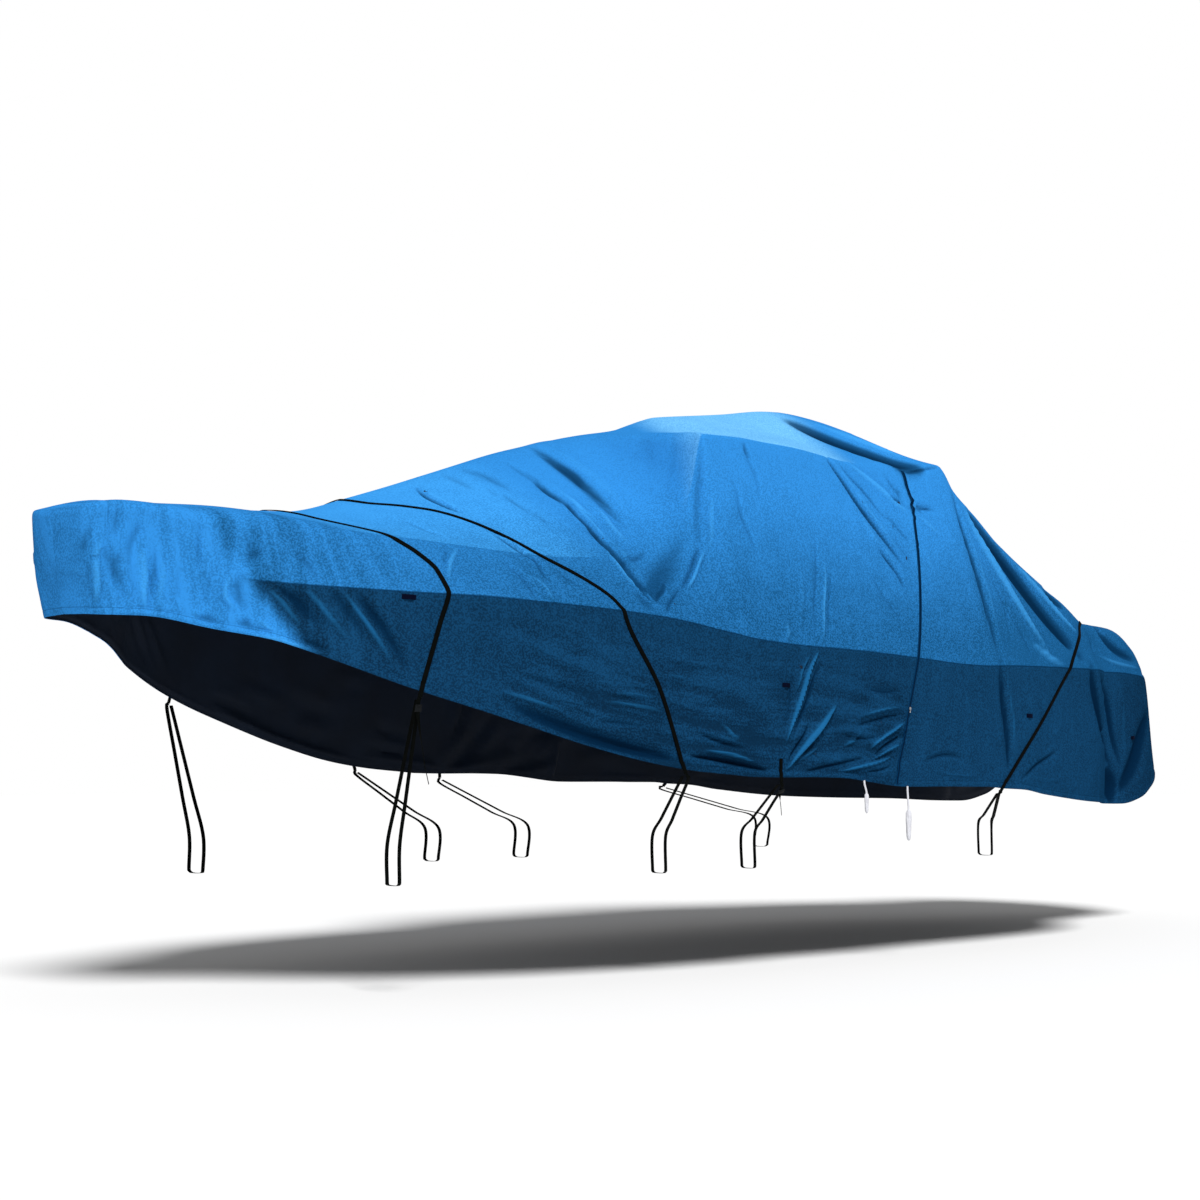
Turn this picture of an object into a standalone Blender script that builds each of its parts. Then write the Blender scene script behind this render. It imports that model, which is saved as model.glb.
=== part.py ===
"""Fitted boat cover: two coated cloths joined along a zip line, with webbing straps, belt loops and ties.

Metres, +Z up. The bow end points to -X, port is -Y. The origin is under the roof of the cover, where
the thing it covers carries it. Stations run from the bow end aft, heights are above the ground.
"""
import bmesh
import bpy
import numpy as np
from mathutils import Matrix, Vector
from mathutils.bvhtree import BVHTree

for old in list(bpy.data.objects):
    bpy.data.objects.remove(old, do_unlink=True)

# Driving sizes
MOUNT_STATION = 4.20
MOUNT_HEIGHT = 2.96
CLOTH_THICKNESS = 0.003
SEAM_GAP = 0.0006
ZIP_STATION = 4.60
ROOF_END_STATION = 5.00
WEBBING_WIDTH = 0.022
WEBBING_THICKNESS = 0.002
STRIP_LIFT = 0.0006
LIFT_STEP = 0.0004
LIFT_ROUNDS = 90
ZIP_WIDTH = 0.018
ZIP_THICKNESS = 0.0015
ZIP_PLACES = (1.03, 2.985)
ZIP_STEPS = 64
SLIDER_SIZE = (0.012, 0.006, 0.024)
SLIDER_PLACE = 2.40
LOOP_LENGTH = 0.055
LOOP_WIDTH = 0.022
LOOP_THICKNESS = 0.003
PIECE_GAP = 0.0004
SEAT_REACH = 0.30
WELD = 0.00005
ROOF_EASE = 1.3

# Half sections of the taut cover.
# station, ridge height, roof edge half-width and height, side line half-width and height,
# hem half-width and height
SECTIONS = (
    (0.100, 2.120, 0.000, 2.100, 0.000, 1.900, 0.000, 1.685),
    (0.115, 2.145, 0.180, 2.130, 0.175, 1.900, 0.165, 1.680),
    (0.143, 2.160, 0.235, 2.150, 0.230, 1.900, 0.215, 1.677),
    (0.300, 2.185, 0.270, 2.170, 0.280, 1.900, 0.300, 1.675),
    (0.600, 2.195, 0.400, 2.150, 0.440, 1.860, 0.460, 1.620),
    (0.800, 2.200, 0.520, 2.140, 0.600, 1.825, 0.620, 1.575),
    (1.000, 2.200, 0.630, 2.100, 0.780, 1.810, 0.780, 1.495),
    (1.300, 2.215, 0.750, 2.055, 0.940, 1.795, 0.930, 1.380),
    (1.700, 2.315, 0.870, 2.025, 1.080, 1.780, 1.060, 1.260),
    (2.200, 2.460, 0.950, 2.000, 1.180, 1.757, 1.160, 1.120),
    (2.600, 2.590, 0.980, 2.000, 1.230, 1.730, 1.210, 1.035),
    (2.850, 2.660, 0.990, 2.050, 1.250, 1.700, 1.230, 1.000),
    (3.000, 2.705, 0.980, 2.170, 1.265, 1.675, 1.245, 0.987),
    (3.120, 2.728, 0.960, 2.380, 1.270, 1.658, 1.250, 0.978),
    (3.220, 2.750, 0.950, 2.680, 1.280, 1.640, 1.260, 0.970),
    (3.500, 2.805, 0.950, 2.680, 1.290, 1.620, 1.270, 0.965),
    (3.600, 2.833, 0.950, 2.677, 1.290, 1.615, 1.270, 0.965),
    (3.860, 2.925, 0.950, 2.672, 1.300, 1.605, 1.280, 0.960),
    (4.400, 2.990, 0.950, 2.640, 1.300, 1.585, 1.280, 0.910),
    (4.860, 3.050, 0.950, 2.670, 1.290, 1.560, 1.270, 0.905),
    (4.930, 3.045, 0.950, 2.674, 1.288, 1.558, 1.268, 0.903),
    (5.170, 2.880, 0.950, 2.685, 1.280, 1.555, 1.260, 0.900),
    (5.290, 2.720, 0.950, 2.577, 1.280, 1.560, 1.260, 0.890),
    (5.500, 2.520, 0.950, 2.455, 1.280, 1.565, 1.260, 0.880),
    (5.730, 2.360, 0.950, 2.298, 1.270, 1.568, 1.250, 0.850),
    (6.310, 2.100, 0.920, 2.045, 1.200, 1.567, 1.180, 0.800),
    (6.700, 1.970, 0.830, 1.930, 1.020, 1.567, 1.000, 0.785),
    (6.960, 1.920, 0.700, 1.900, 0.820, 1.580, 0.800, 0.780),
    (7.240, 1.910, 0.580, 1.900, 0.680, 1.590, 0.660, 0.765),
    (7.500, 1.900, 0.580, 1.890, 0.640, 1.595, 0.620, 0.760),
    (7.750, 1.820, 0.550, 1.785, 0.590, 1.590, 0.610, 0.800),
    (7.900, 1.720, 0.510, 1.670, 0.545, 1.585, 0.595, 0.870),
    (8.020, 1.620, 0.440, 1.590, 0.490, 1.550, 0.550, 0.940),
    (8.100, 1.540, 0.300, 1.520, 0.350, 1.480, 0.420, 0.990),
    (8.140, 1.500, 0.000, 1.480, 0.000, 1.430, 0.000, 1.000),
)

# How far the bow end leans aft at its hem, and the station where the lean has died out
BOW_LEAN = 0.070
BOW_LEAN_END = 0.90

# How far the cut of the cloth runs off the square, by station:
# station, shift at the ridge, at the roof edge, at the side line, at the hem, bow of the side panel
SLANTS = (
    (4.00, 0.00, 0.00, 0.00, 0.00, 0.00),
    (4.60, 0.20, 0.24, -0.10, -0.28, 0.08),
    (5.00, -0.07, 0.17, 0.00, 0.00, 0.00),
    (6.00, 0.00, 0.00, 0.00, 0.00, 0.00),
)

# Main folds of the port side, mirrored and slightly shifted on the other side. The place across is 0 at
# the ridge, 1 at the roof edge, 2 at the side line and 3 at the hem.
# first station and place, middle station and place, last station and place, half-width, height
FOLDS = (
    (4.13, 1.00, 4.33, 1.34, 4.54, 1.78, 0.040, -0.018),
    (4.22, 1.02, 4.37, 1.22, 4.57, 1.55, 0.035, 0.014),
    (4.34, 1.04, 4.46, 1.16, 4.58, 1.30, 0.035, 0.012),
    (3.13, 1.31, 2.97, 1.40, 2.69, 1.93, 0.050, 0.015),
    (2.60, 0.60, 2.57, 1.41, 2.67, 1.93, 0.050, -0.020),
    (2.64, 0.20, 2.68, 0.49, 2.60, 0.85, 0.060, -0.015),
    (2.94, 0.16, 2.91, 0.43, 2.74, 0.84, 0.060, -0.015),
    (2.37, 0.40, 2.31, 0.68, 2.28, 0.91, 0.060, -0.012),
    (3.94, 1.38, 3.79, 1.68, 3.67, 1.99, 0.040, -0.012),
    (3.99, 1.45, 3.87, 1.70, 3.75, 2.00, 0.040, 0.012),
    (3.69, 2.02, 3.60, 2.34, 3.42, 2.95, 0.045, 0.018),
    (3.80, 2.35, 3.66, 2.65, 3.46, 2.95, 0.040, 0.014),
    (5.15, 1.10, 5.24, 1.53, 5.31, 2.02, 0.045, -0.020),
    (5.22, 1.05, 5.42, 1.45, 5.58, 1.95, 0.050, 0.020),
    (5.31, 2.05, 5.31, 2.49, 5.37, 2.90, 0.045, -0.014),
    (5.38, 1.07, 5.75, 1.39, 6.18, 1.86, 0.050, -0.030),
    (5.60, 1.00, 6.00, 1.25, 6.42, 1.55, 0.050, 0.018),
    (7.20, 1.10, 7.50, 1.45, 7.75, 1.78, 0.050, -0.020),
    (6.26, 2.15, 6.46, 2.49, 6.95, 2.85, 0.055, -0.028),
    (6.66, 2.05, 6.98, 2.36, 7.20, 2.80, 0.050, -0.028),
    (7.78, 2.34, 7.67, 2.65, 7.48, 2.95, 0.050, -0.020),
    (7.30, 2.84, 7.42, 2.92, 7.55, 2.99, 0.070, -0.045),
    (0.25, 1.60, 0.25, 2.05, 0.24, 2.73, 0.030, -0.010),
    (0.39, 1.61, 0.38, 2.20, 0.37, 2.91, 0.035, -0.012),
    (0.57, 1.28, 0.57, 1.75, 0.55, 2.64, 0.040, -0.010),
    (0.76, 1.40, 0.72, 1.80, 0.69, 2.40, 0.045, -0.018),
    (0.90, 2.09, 0.96, 2.39, 1.00, 2.74, 0.045, -0.012),
    (1.09, 2.15, 1.19, 2.59, 1.28, 2.88, 0.045, -0.012),
    (2.20, 2.75, 2.45, 2.72, 2.72, 2.82, 0.045, -0.012),
    (2.86, 2.85, 3.06, 2.75, 3.28, 2.85, 0.045, 0.012),
    (3.95, 2.72, 4.25, 2.62, 4.52, 2.50, 0.040, -0.010),
)
FOLD_POINTS = 14
FOLD_END = 0.25
MIRROR_SHIFT = 0.05

# Where the mesh lines lie: stations of each cloth, and places across half of the cover
FRONT_STATIONS = (
    0.100, 0.115, 0.143, 0.20, 0.26, 0.33, 0.41, 0.50, 0.59, 0.68, 0.77, 0.86, 0.95, 1.05, 1.16, 1.28,
    1.40, 1.52, 1.64, 1.76, 1.88, 2.00, 2.10, 2.20, 2.30, 2.40, 2.50, 2.60, 2.70, 2.78, 2.85, 2.92,
    3.00, 3.06, 3.12, 3.17, 3.22, 3.30, 3.40, 3.50, 3.60, 3.70, 3.78, 3.86, 3.97, 4.10, 4.22, 4.34,
    4.46, ZIP_STATION - SEAM_GAP / 2,
)
AFT_STATIONS = (
    ZIP_STATION + SEAM_GAP / 2, 4.70, 4.80, 4.90, ROOF_END_STATION, 5.09, 5.17, 5.23, 5.29, 5.36, 5.43,
    5.50, 5.60, 5.73, 5.87, 6.00, 6.15, 6.31, 6.42, 6.55, 6.70, 6.83, 6.96, 7.10, 7.24, 7.38, 7.50,
    7.62, 7.75, 7.83, 7.90, 7.97, 8.02, 8.07, 8.10, 8.125, 8.14,
)
HALF_PLACES = (0, 0.25, 0.5, 0.75, 0.92, 1, 1.12, 1.3, 1.5, 1.7, 1.9, 2, 2.2, 2.45, 2.7, 2.9, 3)

# Over-cover straps: place across, station there
STRAPS = {
    "strap_bow": ((0, 1.22), (0.5, 1.22), (0.85, 1.30), (1.0, 1.34), (1.3, 1.43), (1.6, 1.48),
                  (1.9, 1.485), (2.3, 1.445), (3.0, 1.37)),
    "strap_middle": ((0, 1.66), (0.2, 1.69), (0.36, 1.80), (0.5, 1.91), (0.75, 2.03), (1.0, 2.12),
                     (1.4, 2.265), (1.8, 2.37), (2.0, 2.39), (2.5, 2.61), (3.0, 2.77)),
    "strap_aft": ((0, 7.12), (0.6, 7.08), (1.0, 6.94), (1.12, 6.75), (1.58, 6.34), (2.09, 5.93),
                  (2.6, 5.56), (3.0, 5.28)),
}
STRAP_STEPS = 105
STRAP_PLACE = 2.99
STRAP_END = 0.030

HEM_STRAP_STATION = 3.42
HEM_STRAP_PLACES = (2.86, 2.99)
HEM_STRAP_STEPS = 12

# Strap legs: the strap they carry on, station and half-width of the foot that they turn back at
LEGS = (
    ("strap_bow", "leg_bow", 1.385, 0.800),
    ("strap_middle", "leg_middle", 2.990, 0.900),
    ("strap_hem", "leg_hem", 3.650, 0.900),
    ("strap_aft", "leg_aft", 5.700, 0.900),
)
LEG_FOOT_HEIGHT = 0.500
LEG_STEPS = 32
LEG_START = 0.030
LEG_FIRST = 0.004
LEG_PARTS = (0.35, 0.70)
LEG_SHIFT = 0.012

# Round the foot of a leg: part of the shift aft, distance in from the outer run, height over the foot
LEG_FOOT = (
    (0.00, 0.000, 0.180),
    (0.00, 0.000, 0.020),
    (0.17, 0.006, 0.006),
    (0.33, 0.020, 0.000),
    (0.67, 0.080, 0.000),
    (0.83, 0.094, 0.006),
    (1.00, 0.100, 0.020),
    (1.00, 0.100, 0.180),
)

# Where a leg's inner run ends, inward and below the strap's end
LEG_RETURN = (0.022, 0.012)

# Free tails on the port side, from the foot of their buckle: aft, outward, up
TAILS = {
    "bow": ((0, 0, 0), (0.003, 0, -0.03), (0.010, 0.004, -0.09), (0.020, 0.012, -0.17),
            (0.028, 0.014, -0.225), (0.049, 0.018, -0.31)),
    "hem": ((0, 0, 0), (0.002, 0.001, -0.03), (0.005, 0.003, -0.065), (0.006, 0.006, -0.105)),
}
TAIL_STEPS = 22
TAIL_OUT = 0.001
TAIL_FIRST = 0.006
TAIL_FACING = (0.7, -0.7, 0)
TAIL_TURN = 2.5
BUCKLE_SIZE = (0.034, 0.007, 0.032)
BUCKLE_DROP = 0.045
BUCKLE_EDGE = 0.002

# Belt loops: station and place across
BELT_LOOPS = ((1.31, 2.06), (3.46, 2.31), (5.55, 2.40), (7.67, 2.51))
LOOP_STEPS = 7

# Ties on the port hem: station, offsets of the cord from the hem (aft, outward, up), length and
# radius of the bundle at its end
TIES = (
    ("tie_fore", 4.115, ((0, 0, 0), (0.002, 0, -0.02), (0.010, 0.002, -0.045), (0.014, 0.003, -0.062)),
     0.105, 0.011),
    ("tie_aft", 4.655, ((0, 0, 0), (0.001, 0, -0.03), (0.003, 0.001, -0.07), (0.005, 0.002, -0.118)),
     0.165, 0.015),
)
TIE_RADIUS = 0.005
TIE_STEPS = 9
CORD_ROUNDNESS = 2

# The bundle at a tie's end: part of its radius, part of its drop
BUNDLE_PROFILE = ((0, 0), (0.45, 0.03), (0.9, 0.12), (1, 0.30),
                  (0.85, 0.55), (0.8, 0.80), (0.5, 0.95), (0, 1))
BUNDLE_SIDES = 12


def table_column(table, column, stations):
    """Smooth values of one column between its rows, without overshoot."""
    rows = np.array(table, dtype=float)
    xs, ys = rows[:, 0], rows[:, column]
    steps = np.diff(xs)
    slopes = np.diff(ys) / steps
    before, after = slopes[:-1], slopes[1:]
    total = before + after
    inner = np.where(before * after > 0, 2 * before * after / np.where(total == 0, 1, total), 0)
    tangents = np.concatenate(([slopes[0]], inner, [slopes[-1]]))
    x = np.clip(stations, xs[0], xs[-1])
    i = np.clip(np.searchsorted(xs, x, side="right") - 1, 0, len(steps) - 1)
    t = (x - xs[i]) / steps[i]
    start, end = tangents[i] * steps[i], tangents[i + 1] * steps[i]
    rise = ys[i + 1] - ys[i]
    return ys[i] + start * t + (3 * rise - 2 * start - end) * t**2 + (start + end - 2 * rise) * t**3


def straight_column(table, column, stations):
    rows = np.array(table, dtype=float)
    return np.interp(stations, rows[:, 0], rows[:, column])


def taut_cover(stations, places):
    """Points of the cover without folds. A negative place across is on the port side."""
    stations, places = np.broadcast_arrays(np.asarray(stations, float), np.asarray(places, float))
    across = np.abs(places)
    panel = np.minimum(across.astype(int), 2)
    part = across - panel
    shifts = np.stack([straight_column(SLANTS, c, stations) for c in range(1, 5)])
    near = np.take_along_axis(shifts, panel[None], 0)[0]
    far = np.take_along_axis(shifts, panel[None] + 1, 0)[0]
    bow = straight_column(SLANTS, 5, stations) * 4 * part * (1 - part) * (panel == 1)
    along = stations + near + (far - near) * part + bow
    zero = np.zeros_like(along)
    widths = np.stack([zero] + [table_column(SECTIONS, c, along) for c in (2, 4, 6)])
    heights = np.stack([table_column(SECTIONS, c, along) for c in (1, 3, 5, 7)])
    ease = np.where(panel == 0, part**ROOF_EASE, part)
    width = np.take_along_axis(widths, panel[None], 0)[0] * (1 - part)
    width = width + np.take_along_axis(widths, panel[None] + 1, 0)[0] * part
    height = np.take_along_axis(heights, panel[None], 0)[0] * (1 - ease)
    height = height + np.take_along_axis(heights, panel[None] + 1, 0)[0] * ease
    near_bow = np.clip(1 - along / BOW_LEAN_END, 0, 1)
    lean = BOW_LEAN * near_bow * (np.clip(across - 1, 0, 2) / 2) ** 2
    along = np.clip(along, SECTIONS[0][0], SECTIONS[-1][0]) + lean
    return np.stack((along - MOUNT_STATION, np.sign(places) * width, height - MOUNT_HEIGHT), -1)


def outward(stations, places):
    """Unit normals of the taut cover; the two end lines face along the cover."""
    step = 0.004
    stations, places = np.broadcast_arrays(np.asarray(stations, float), np.asarray(places, float))
    first, last = SECTIONS[0][0], SECTIONS[-1][0]
    inside = np.clip(stations, first + step, last - step)
    along = taut_cover(inside + step, places) - taut_cover(inside - step, places)
    limit = 3 - step
    middle = np.clip(places, -limit, limit)
    across = taut_cover(inside, middle + step) - taut_cover(inside, middle - step)
    normals = np.cross(along, across)
    normals /= np.linalg.norm(normals, axis=-1, keepdims=True)
    normals[stations <= first] = (-1, 0, 0)
    normals[stations >= last] = (1, 0, 0)
    return normals


def fold_lines():
    """Each fold as points on the taut cover, with its half-width and height."""
    lines = []
    t = np.linspace(0, 1, FOLD_POINTS)
    for number, row in enumerate(FOLDS):
        s0, p0, s1, p1, s2, p2, width, height = row
        s_mid, p_mid = 2 * s1 - (s0 + s2) / 2, 2 * p1 - (p0 + p2) / 2
        stations = (1 - t) ** 2 * s0 + 2 * t * (1 - t) * s_mid + t**2 * s2
        places = (1 - t) ** 2 * p0 + 2 * t * (1 - t) * p_mid + t**2 * p2
        shift = MIRROR_SHIFT if number % 2 else -MIRROR_SHIFT
        lines.append((taut_cover(stations, -places), width, height))
        lines.append((taut_cover(stations + shift, places), width, height))
    return lines


def fold_rise(points):
    """How far the folds lift or sink the cloth at each point."""
    flat = points.reshape(-1, 3)
    rise = np.zeros(len(flat))
    for line, width, height in fold_lines():
        starts, runs = line[:-1], np.diff(line, axis=0)
        lengths = (runs**2).sum(-1)
        t = ((flat[:, None] - starts) * runs).sum(-1) / lengths
        t = np.clip(t, 0, 1)
        gaps = np.linalg.norm(flat[:, None] - starts - t[..., None] * runs, axis=-1)
        nearest = gaps.argmin(1)
        rows = np.arange(len(flat))
        place = (nearest + t[rows, nearest]) / len(runs)
        fade = 1 - (2 * place - 1) ** 4
        strength = FOLD_END + (1 - FOLD_END) * fade
        rise += height * strength * np.exp(-((gaps[rows, nearest] / width) ** 2))
    return rise.reshape(points.shape[:-1])


def cover(stations, places, lift=0.0):
    """Points of the folded cover, lifted off it by the given height."""
    taut = taut_cover(stations, places)
    normals = outward(stations, places)
    return taut + normals * (fold_rise(taut) + lift)[..., None], normals


def new_material(name, colour, roughness):
    material = bpy.data.materials.new(name)
    material.use_nodes = True
    shader = material.node_tree.nodes["Principled BSDF"]
    shader.inputs["Base Color"].default_value = (*colour, 1)
    shader.inputs["Roughness"].default_value = roughness
    shader.inputs["Metallic"].default_value = 0
    return material


def new_object(name, mesh, material, smooth=True):
    if smooth:
        mesh.polygons.foreach_set("use_smooth", [True] * len(mesh.polygons))
    piece = bpy.data.objects.new(name, mesh)
    piece.data.materials.append(material)
    bpy.context.collection.objects.link(piece)
    return piece


def mesh_from(name, bm):
    bmesh.ops.recalc_face_normals(bm, faces=bm.faces)
    bmesh.ops.triangulate(bm, faces=bm.faces)
    mesh = bpy.data.meshes.new(name)
    bm.to_mesh(mesh)
    bm.free()
    return mesh


def cloth(name, stations, material):
    """One cloth: the folded surface and its inner face, closed along the hem and the seam."""
    places = np.array([-p for p in reversed(HALF_PLACES[1:])] + list(HALF_PLACES), float)
    outer, normals = cover(np.array(stations)[:, None], places[None, :])
    inner = outer - normals * CLOTH_THICKNESS
    bm = bmesh.new()
    sheets = []
    for layer in (outer, inner):
        sheets.append([[bm.verts.new(point) for point in row] for row in layer])
    rows, columns = len(stations), len(places)
    for skin, flip in zip(sheets, (False, True)):
        for i in range(rows - 1):
            for j in range(columns - 1):
                corners = [skin[i][j], skin[i + 1][j], skin[i + 1][j + 1], skin[i][j + 1]]
                bm.faces.new(corners[::-1] if flip else corners)
    top, under = sheets
    closed_end = 0 if stations[0] <= SECTIONS[0][0] else rows - 1
    seam_end = rows - 1 - closed_end
    for j in range(columns - 1):
        bm.faces.new((top[seam_end][j], top[seam_end][j + 1], under[seam_end][j + 1], under[seam_end][j]))
    for j in (0, columns - 1):
        for i in range(rows - 1):
            bm.faces.new((top[i][j], top[i + 1][j], under[i + 1][j], under[i][j]))
    bmesh.ops.remove_doubles(bm, verts=bm.verts, dist=WELD)
    return new_object(name, mesh_from(name, bm), material)


def strip_frame(centres, flats):
    """Sideways and face directions of a flat strip along the centres."""
    runs = np.gradient(centres, axis=0)
    sides = np.cross(flats, runs)
    sides /= np.linalg.norm(sides, axis=-1, keepdims=True)
    faces = np.cross(runs, sides)
    faces /= np.linalg.norm(faces, axis=-1, keepdims=True)
    return sides, faces


def band_mesh(name, centres, flats, width, thickness):
    """A flat closed strip along the centres; flats are the directions that its face looks."""
    sides, faces = strip_frame(centres, flats)
    bm = bmesh.new()
    rings = []
    for centre, side, face in zip(centres, sides, faces):
        corners = ((-1, -1), (1, -1), (1, 1), (-1, 1))
        rings.append([bm.verts.new(centre + side * a * width / 2 + face * b * thickness / 2)
                      for a, b in corners])
    for ring, following in zip(rings, rings[1:]):
        for k in range(4):
            bm.faces.new((ring[k], ring[(k + 1) % 4], following[(k + 1) % 4], following[k]))
    bm.faces.new(rings[0])
    bm.faces.new(rings[-1])
    return mesh_from(name, bm)


def band(name, centres, flats, width, thickness, material):
    mesh = band_mesh(name, np.array(centres), np.array(flats), width, thickness)
    return new_object(name, mesh, material, smooth=False)


def laid_band(name, tree, centres, flats, width, thickness, material):
    """A strip on the cloth, lifted a little more wherever its faces would still meet the cloth."""
    rise = np.zeros(len(centres))
    for _ in range(LIFT_ROUNDS):
        wide, thick = width + 2 * PIECE_GAP, thickness + 2 * PIECE_GAP
        mesh = band_mesh(name, centres + flats * rise[:, None], flats, wide, thick)
        probe = BVHTree.FromPolygons([vertex.co for vertex in mesh.vertices],
                                     [polygon.vertices[:] for polygon in mesh.polygons])
        cut = {min(mesh.polygons[face].vertices) // 4 for face, _ in probe.overlap(tree)}
        bpy.data.meshes.remove(mesh)
        if not cut:
            break
        for segment in cut:
            rise[max(segment - 1, 0):segment + 3] += LIFT_STEP
    return band(name, centres + flats * rise[:, None], flats, width, thickness, material)


def tree_of(pieces):
    """The faces of several pieces, for finding the cloth under a strip."""
    points, polygons = [], []
    for piece in pieces:
        start = len(points)
        points += [tuple(vertex.co) for vertex in piece.data.vertices]
        polygons += [[start + i for i in polygon.vertices] for polygon in piece.data.polygons]
    return BVHTree.FromPolygons(points, polygons)


def seated(tree, centres, flats, width, lift):
    """The centres moved along their flats until a strip there lies this high over the cloth."""
    sides, _ = strip_frame(centres, flats)
    heights = np.full(len(centres), np.nan)
    for i, (centre, side, flat) in enumerate(zip(centres, sides, flats)):
        found = []
        for part in (-0.55, 0, 0.55):
            start = Vector(centre + side * part * width + flat * SEAT_REACH)
            distance = tree.ray_cast(start, Vector(-flat), 2 * SEAT_REACH)[3]
            if distance is not None:
                found.append(SEAT_REACH - distance)
        if found:
            heights[i] = max(found)
    known = ~np.isnan(heights)
    rows = np.arange(len(centres))
    heights = np.interp(rows, rows[known], heights[known])
    padded = np.concatenate(([heights[0]], heights, [heights[-1]]))
    highest = np.maximum(np.maximum(padded[:-2], padded[1:-1]), padded[2:])
    return centres + flats * (highest + lift)[:, None]


def smooth_route(points, steps):
    """Evenly spaced points on a smooth curve through the route's own points."""
    route = np.array(points, float)
    ends = np.vstack((2 * route[0] - route[1], route, 2 * route[-1] - route[-2]))
    fine = []
    for i in range(1, len(ends) - 2):
        for t in np.linspace(0, 1, 16, endpoint=i == len(ends) - 3):
            a, b, c, d = ends[i - 1:i + 3]
            fine.append(0.5 * (2 * b + (c - a) * t + (2 * a - 5 * b + 4 * c - d) * t * t
                               + (3 * b - a - 3 * c + d) * t**3))
    fine = np.array(fine)
    walked = np.concatenate(([0], np.cumsum(np.linalg.norm(np.diff(fine, axis=0), axis=-1))))
    marks = np.linspace(0, walked[-1], steps)
    return np.stack([np.interp(marks, walked, fine[:, k]) for k in range(3)], -1)


def across_strip(route, sideways):
    """Face directions of a strip whose width runs sideways."""
    runs = np.gradient(route, axis=0)
    flats = np.cross(runs, sideways)
    return flats / np.linalg.norm(flats, axis=-1, keepdims=True)


def leg_route(start, down, foot_station, foot_width, side):
    """From the strap's end down to the foot, round it and back up inside, almost to the start."""
    foot = []
    for shift, inward, height in LEG_FOOT:
        aft = foot_station - MOUNT_STATION + shift * LEG_SHIFT
        foot.append(np.array((aft, side * (foot_width - inward), LEG_FOOT_HEIGHT - MOUNT_HEIGHT + height)))
    begin = start + down * LEG_START
    inward, drop = LEG_RETURN
    back = start - np.array((0, side * inward, drop))
    way_down = [begin + (foot[0] - begin) * part for part in LEG_PARTS]
    way_up = [back + (foot[-1] - back) * part for part in reversed(LEG_PARTS)]
    return [start, begin, *way_down, *foot, *way_up, back]


def plate(name, centre, face, way, size, material):
    """A small plate with softened edges, its face turned outwards and its length along the way given."""
    bm = bmesh.new()
    bmesh.ops.create_cube(bm, size=1)
    bmesh.ops.scale(bm, vec=size, verts=bm.verts)
    bmesh.ops.bevel(bm, geom=bm.edges[:], offset=BUCKLE_EDGE, segments=1, affect="EDGES")
    piece = new_object(name, mesh_from(name, bm), material, smooth=False)
    length = Vector(way).normalized()
    across = Vector(face).cross(length).normalized()
    outwards = length.cross(across)
    piece.rotation_mode = "QUATERNION"
    piece.rotation_quaternion = Matrix((across, outwards, length)).transposed().to_quaternion()
    piece.location = centre
    return piece


def spindle(name, top, length, radius, material):
    """The bundled end of a tie: a long drop, thickest above its middle."""
    bm = bmesh.new()
    edge = [bm.verts.new((radius * r, 0, -length * d)) for r, d in BUNDLE_PROFILE]
    wires = [bm.edges.new(pair) for pair in zip(edge, edge[1:])]
    bmesh.ops.spin(bm, geom=edge + wires, axis=(0, 0, 1), cent=(0, 0, 0), angle=2 * np.pi,
                   steps=BUNDLE_SIDES)
    bmesh.ops.remove_doubles(bm, verts=bm.verts, dist=WELD)
    piece = new_object(name, mesh_from(name, bm), material)
    piece.location = top
    return piece


def cord(name, points, radius, material):
    curve = bpy.data.curves.new(name, "CURVE")
    curve.dimensions = "3D"
    curve.bevel_depth = radius
    curve.bevel_resolution = CORD_ROUNDNESS
    curve.use_fill_caps = True
    line = curve.splines.new("POLY")
    line.points.add(len(points) - 1)
    for point, place in zip(line.points, points):
        point.co = (*place, 1)
    piece = bpy.data.objects.new(name, curve)
    curve.materials.append(material)
    bpy.context.collection.objects.link(piece)
    return piece


def lay_strap(name, stations, places, ends, tree, material):
    """A strap on the cover. Its listed ends hang a little below the hem; their tips and ways are given."""
    centres, flats = cover(stations, places)
    lift = STRIP_LIFT + WEBBING_THICKNESS / 2
    centres = seated(tree, centres, flats, WEBBING_WIDTH, lift)
    tips = {}
    for side in ends:
        port = side < 0
        end, neighbour = (centres[0], centres[1]) if port else (centres[-1], centres[-2])
        down = (end - neighbour) / np.linalg.norm(end - neighbour)
        tip = end + down * STRAP_END
        centres = np.vstack((tip, centres)) if port else np.vstack((centres, tip))
        flats = np.vstack((flats[0], flats)) if port else np.vstack((flats, flats[-1]))
        tips[side] = (tip, down)
    laid_band(name, tree, centres, flats, WEBBING_WIDTH, WEBBING_THICKNESS, material)
    return tips


BLUE = new_material("coated_cloth_blue", (0.035, 0.22, 0.62), 0.55)
BLACK = new_material("webbing_black", (0.012, 0.014, 0.013), 0.75)
DARK = new_material("zip_dark", (0.015, 0.03, 0.06), 0.6)
STEEL = new_material("slider_metal", (0.55, 0.55, 0.55), 0.35)
WHITE = new_material("tie_white", (0.85, 0.86, 0.90), 0.7)

# The two cloths
cloths = (cloth("cover_front", FRONT_STATIONS, BLUE), cloth("cover_aft", AFT_STATIONS, BLUE))
cloth_tree = tree_of(cloths)

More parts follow.
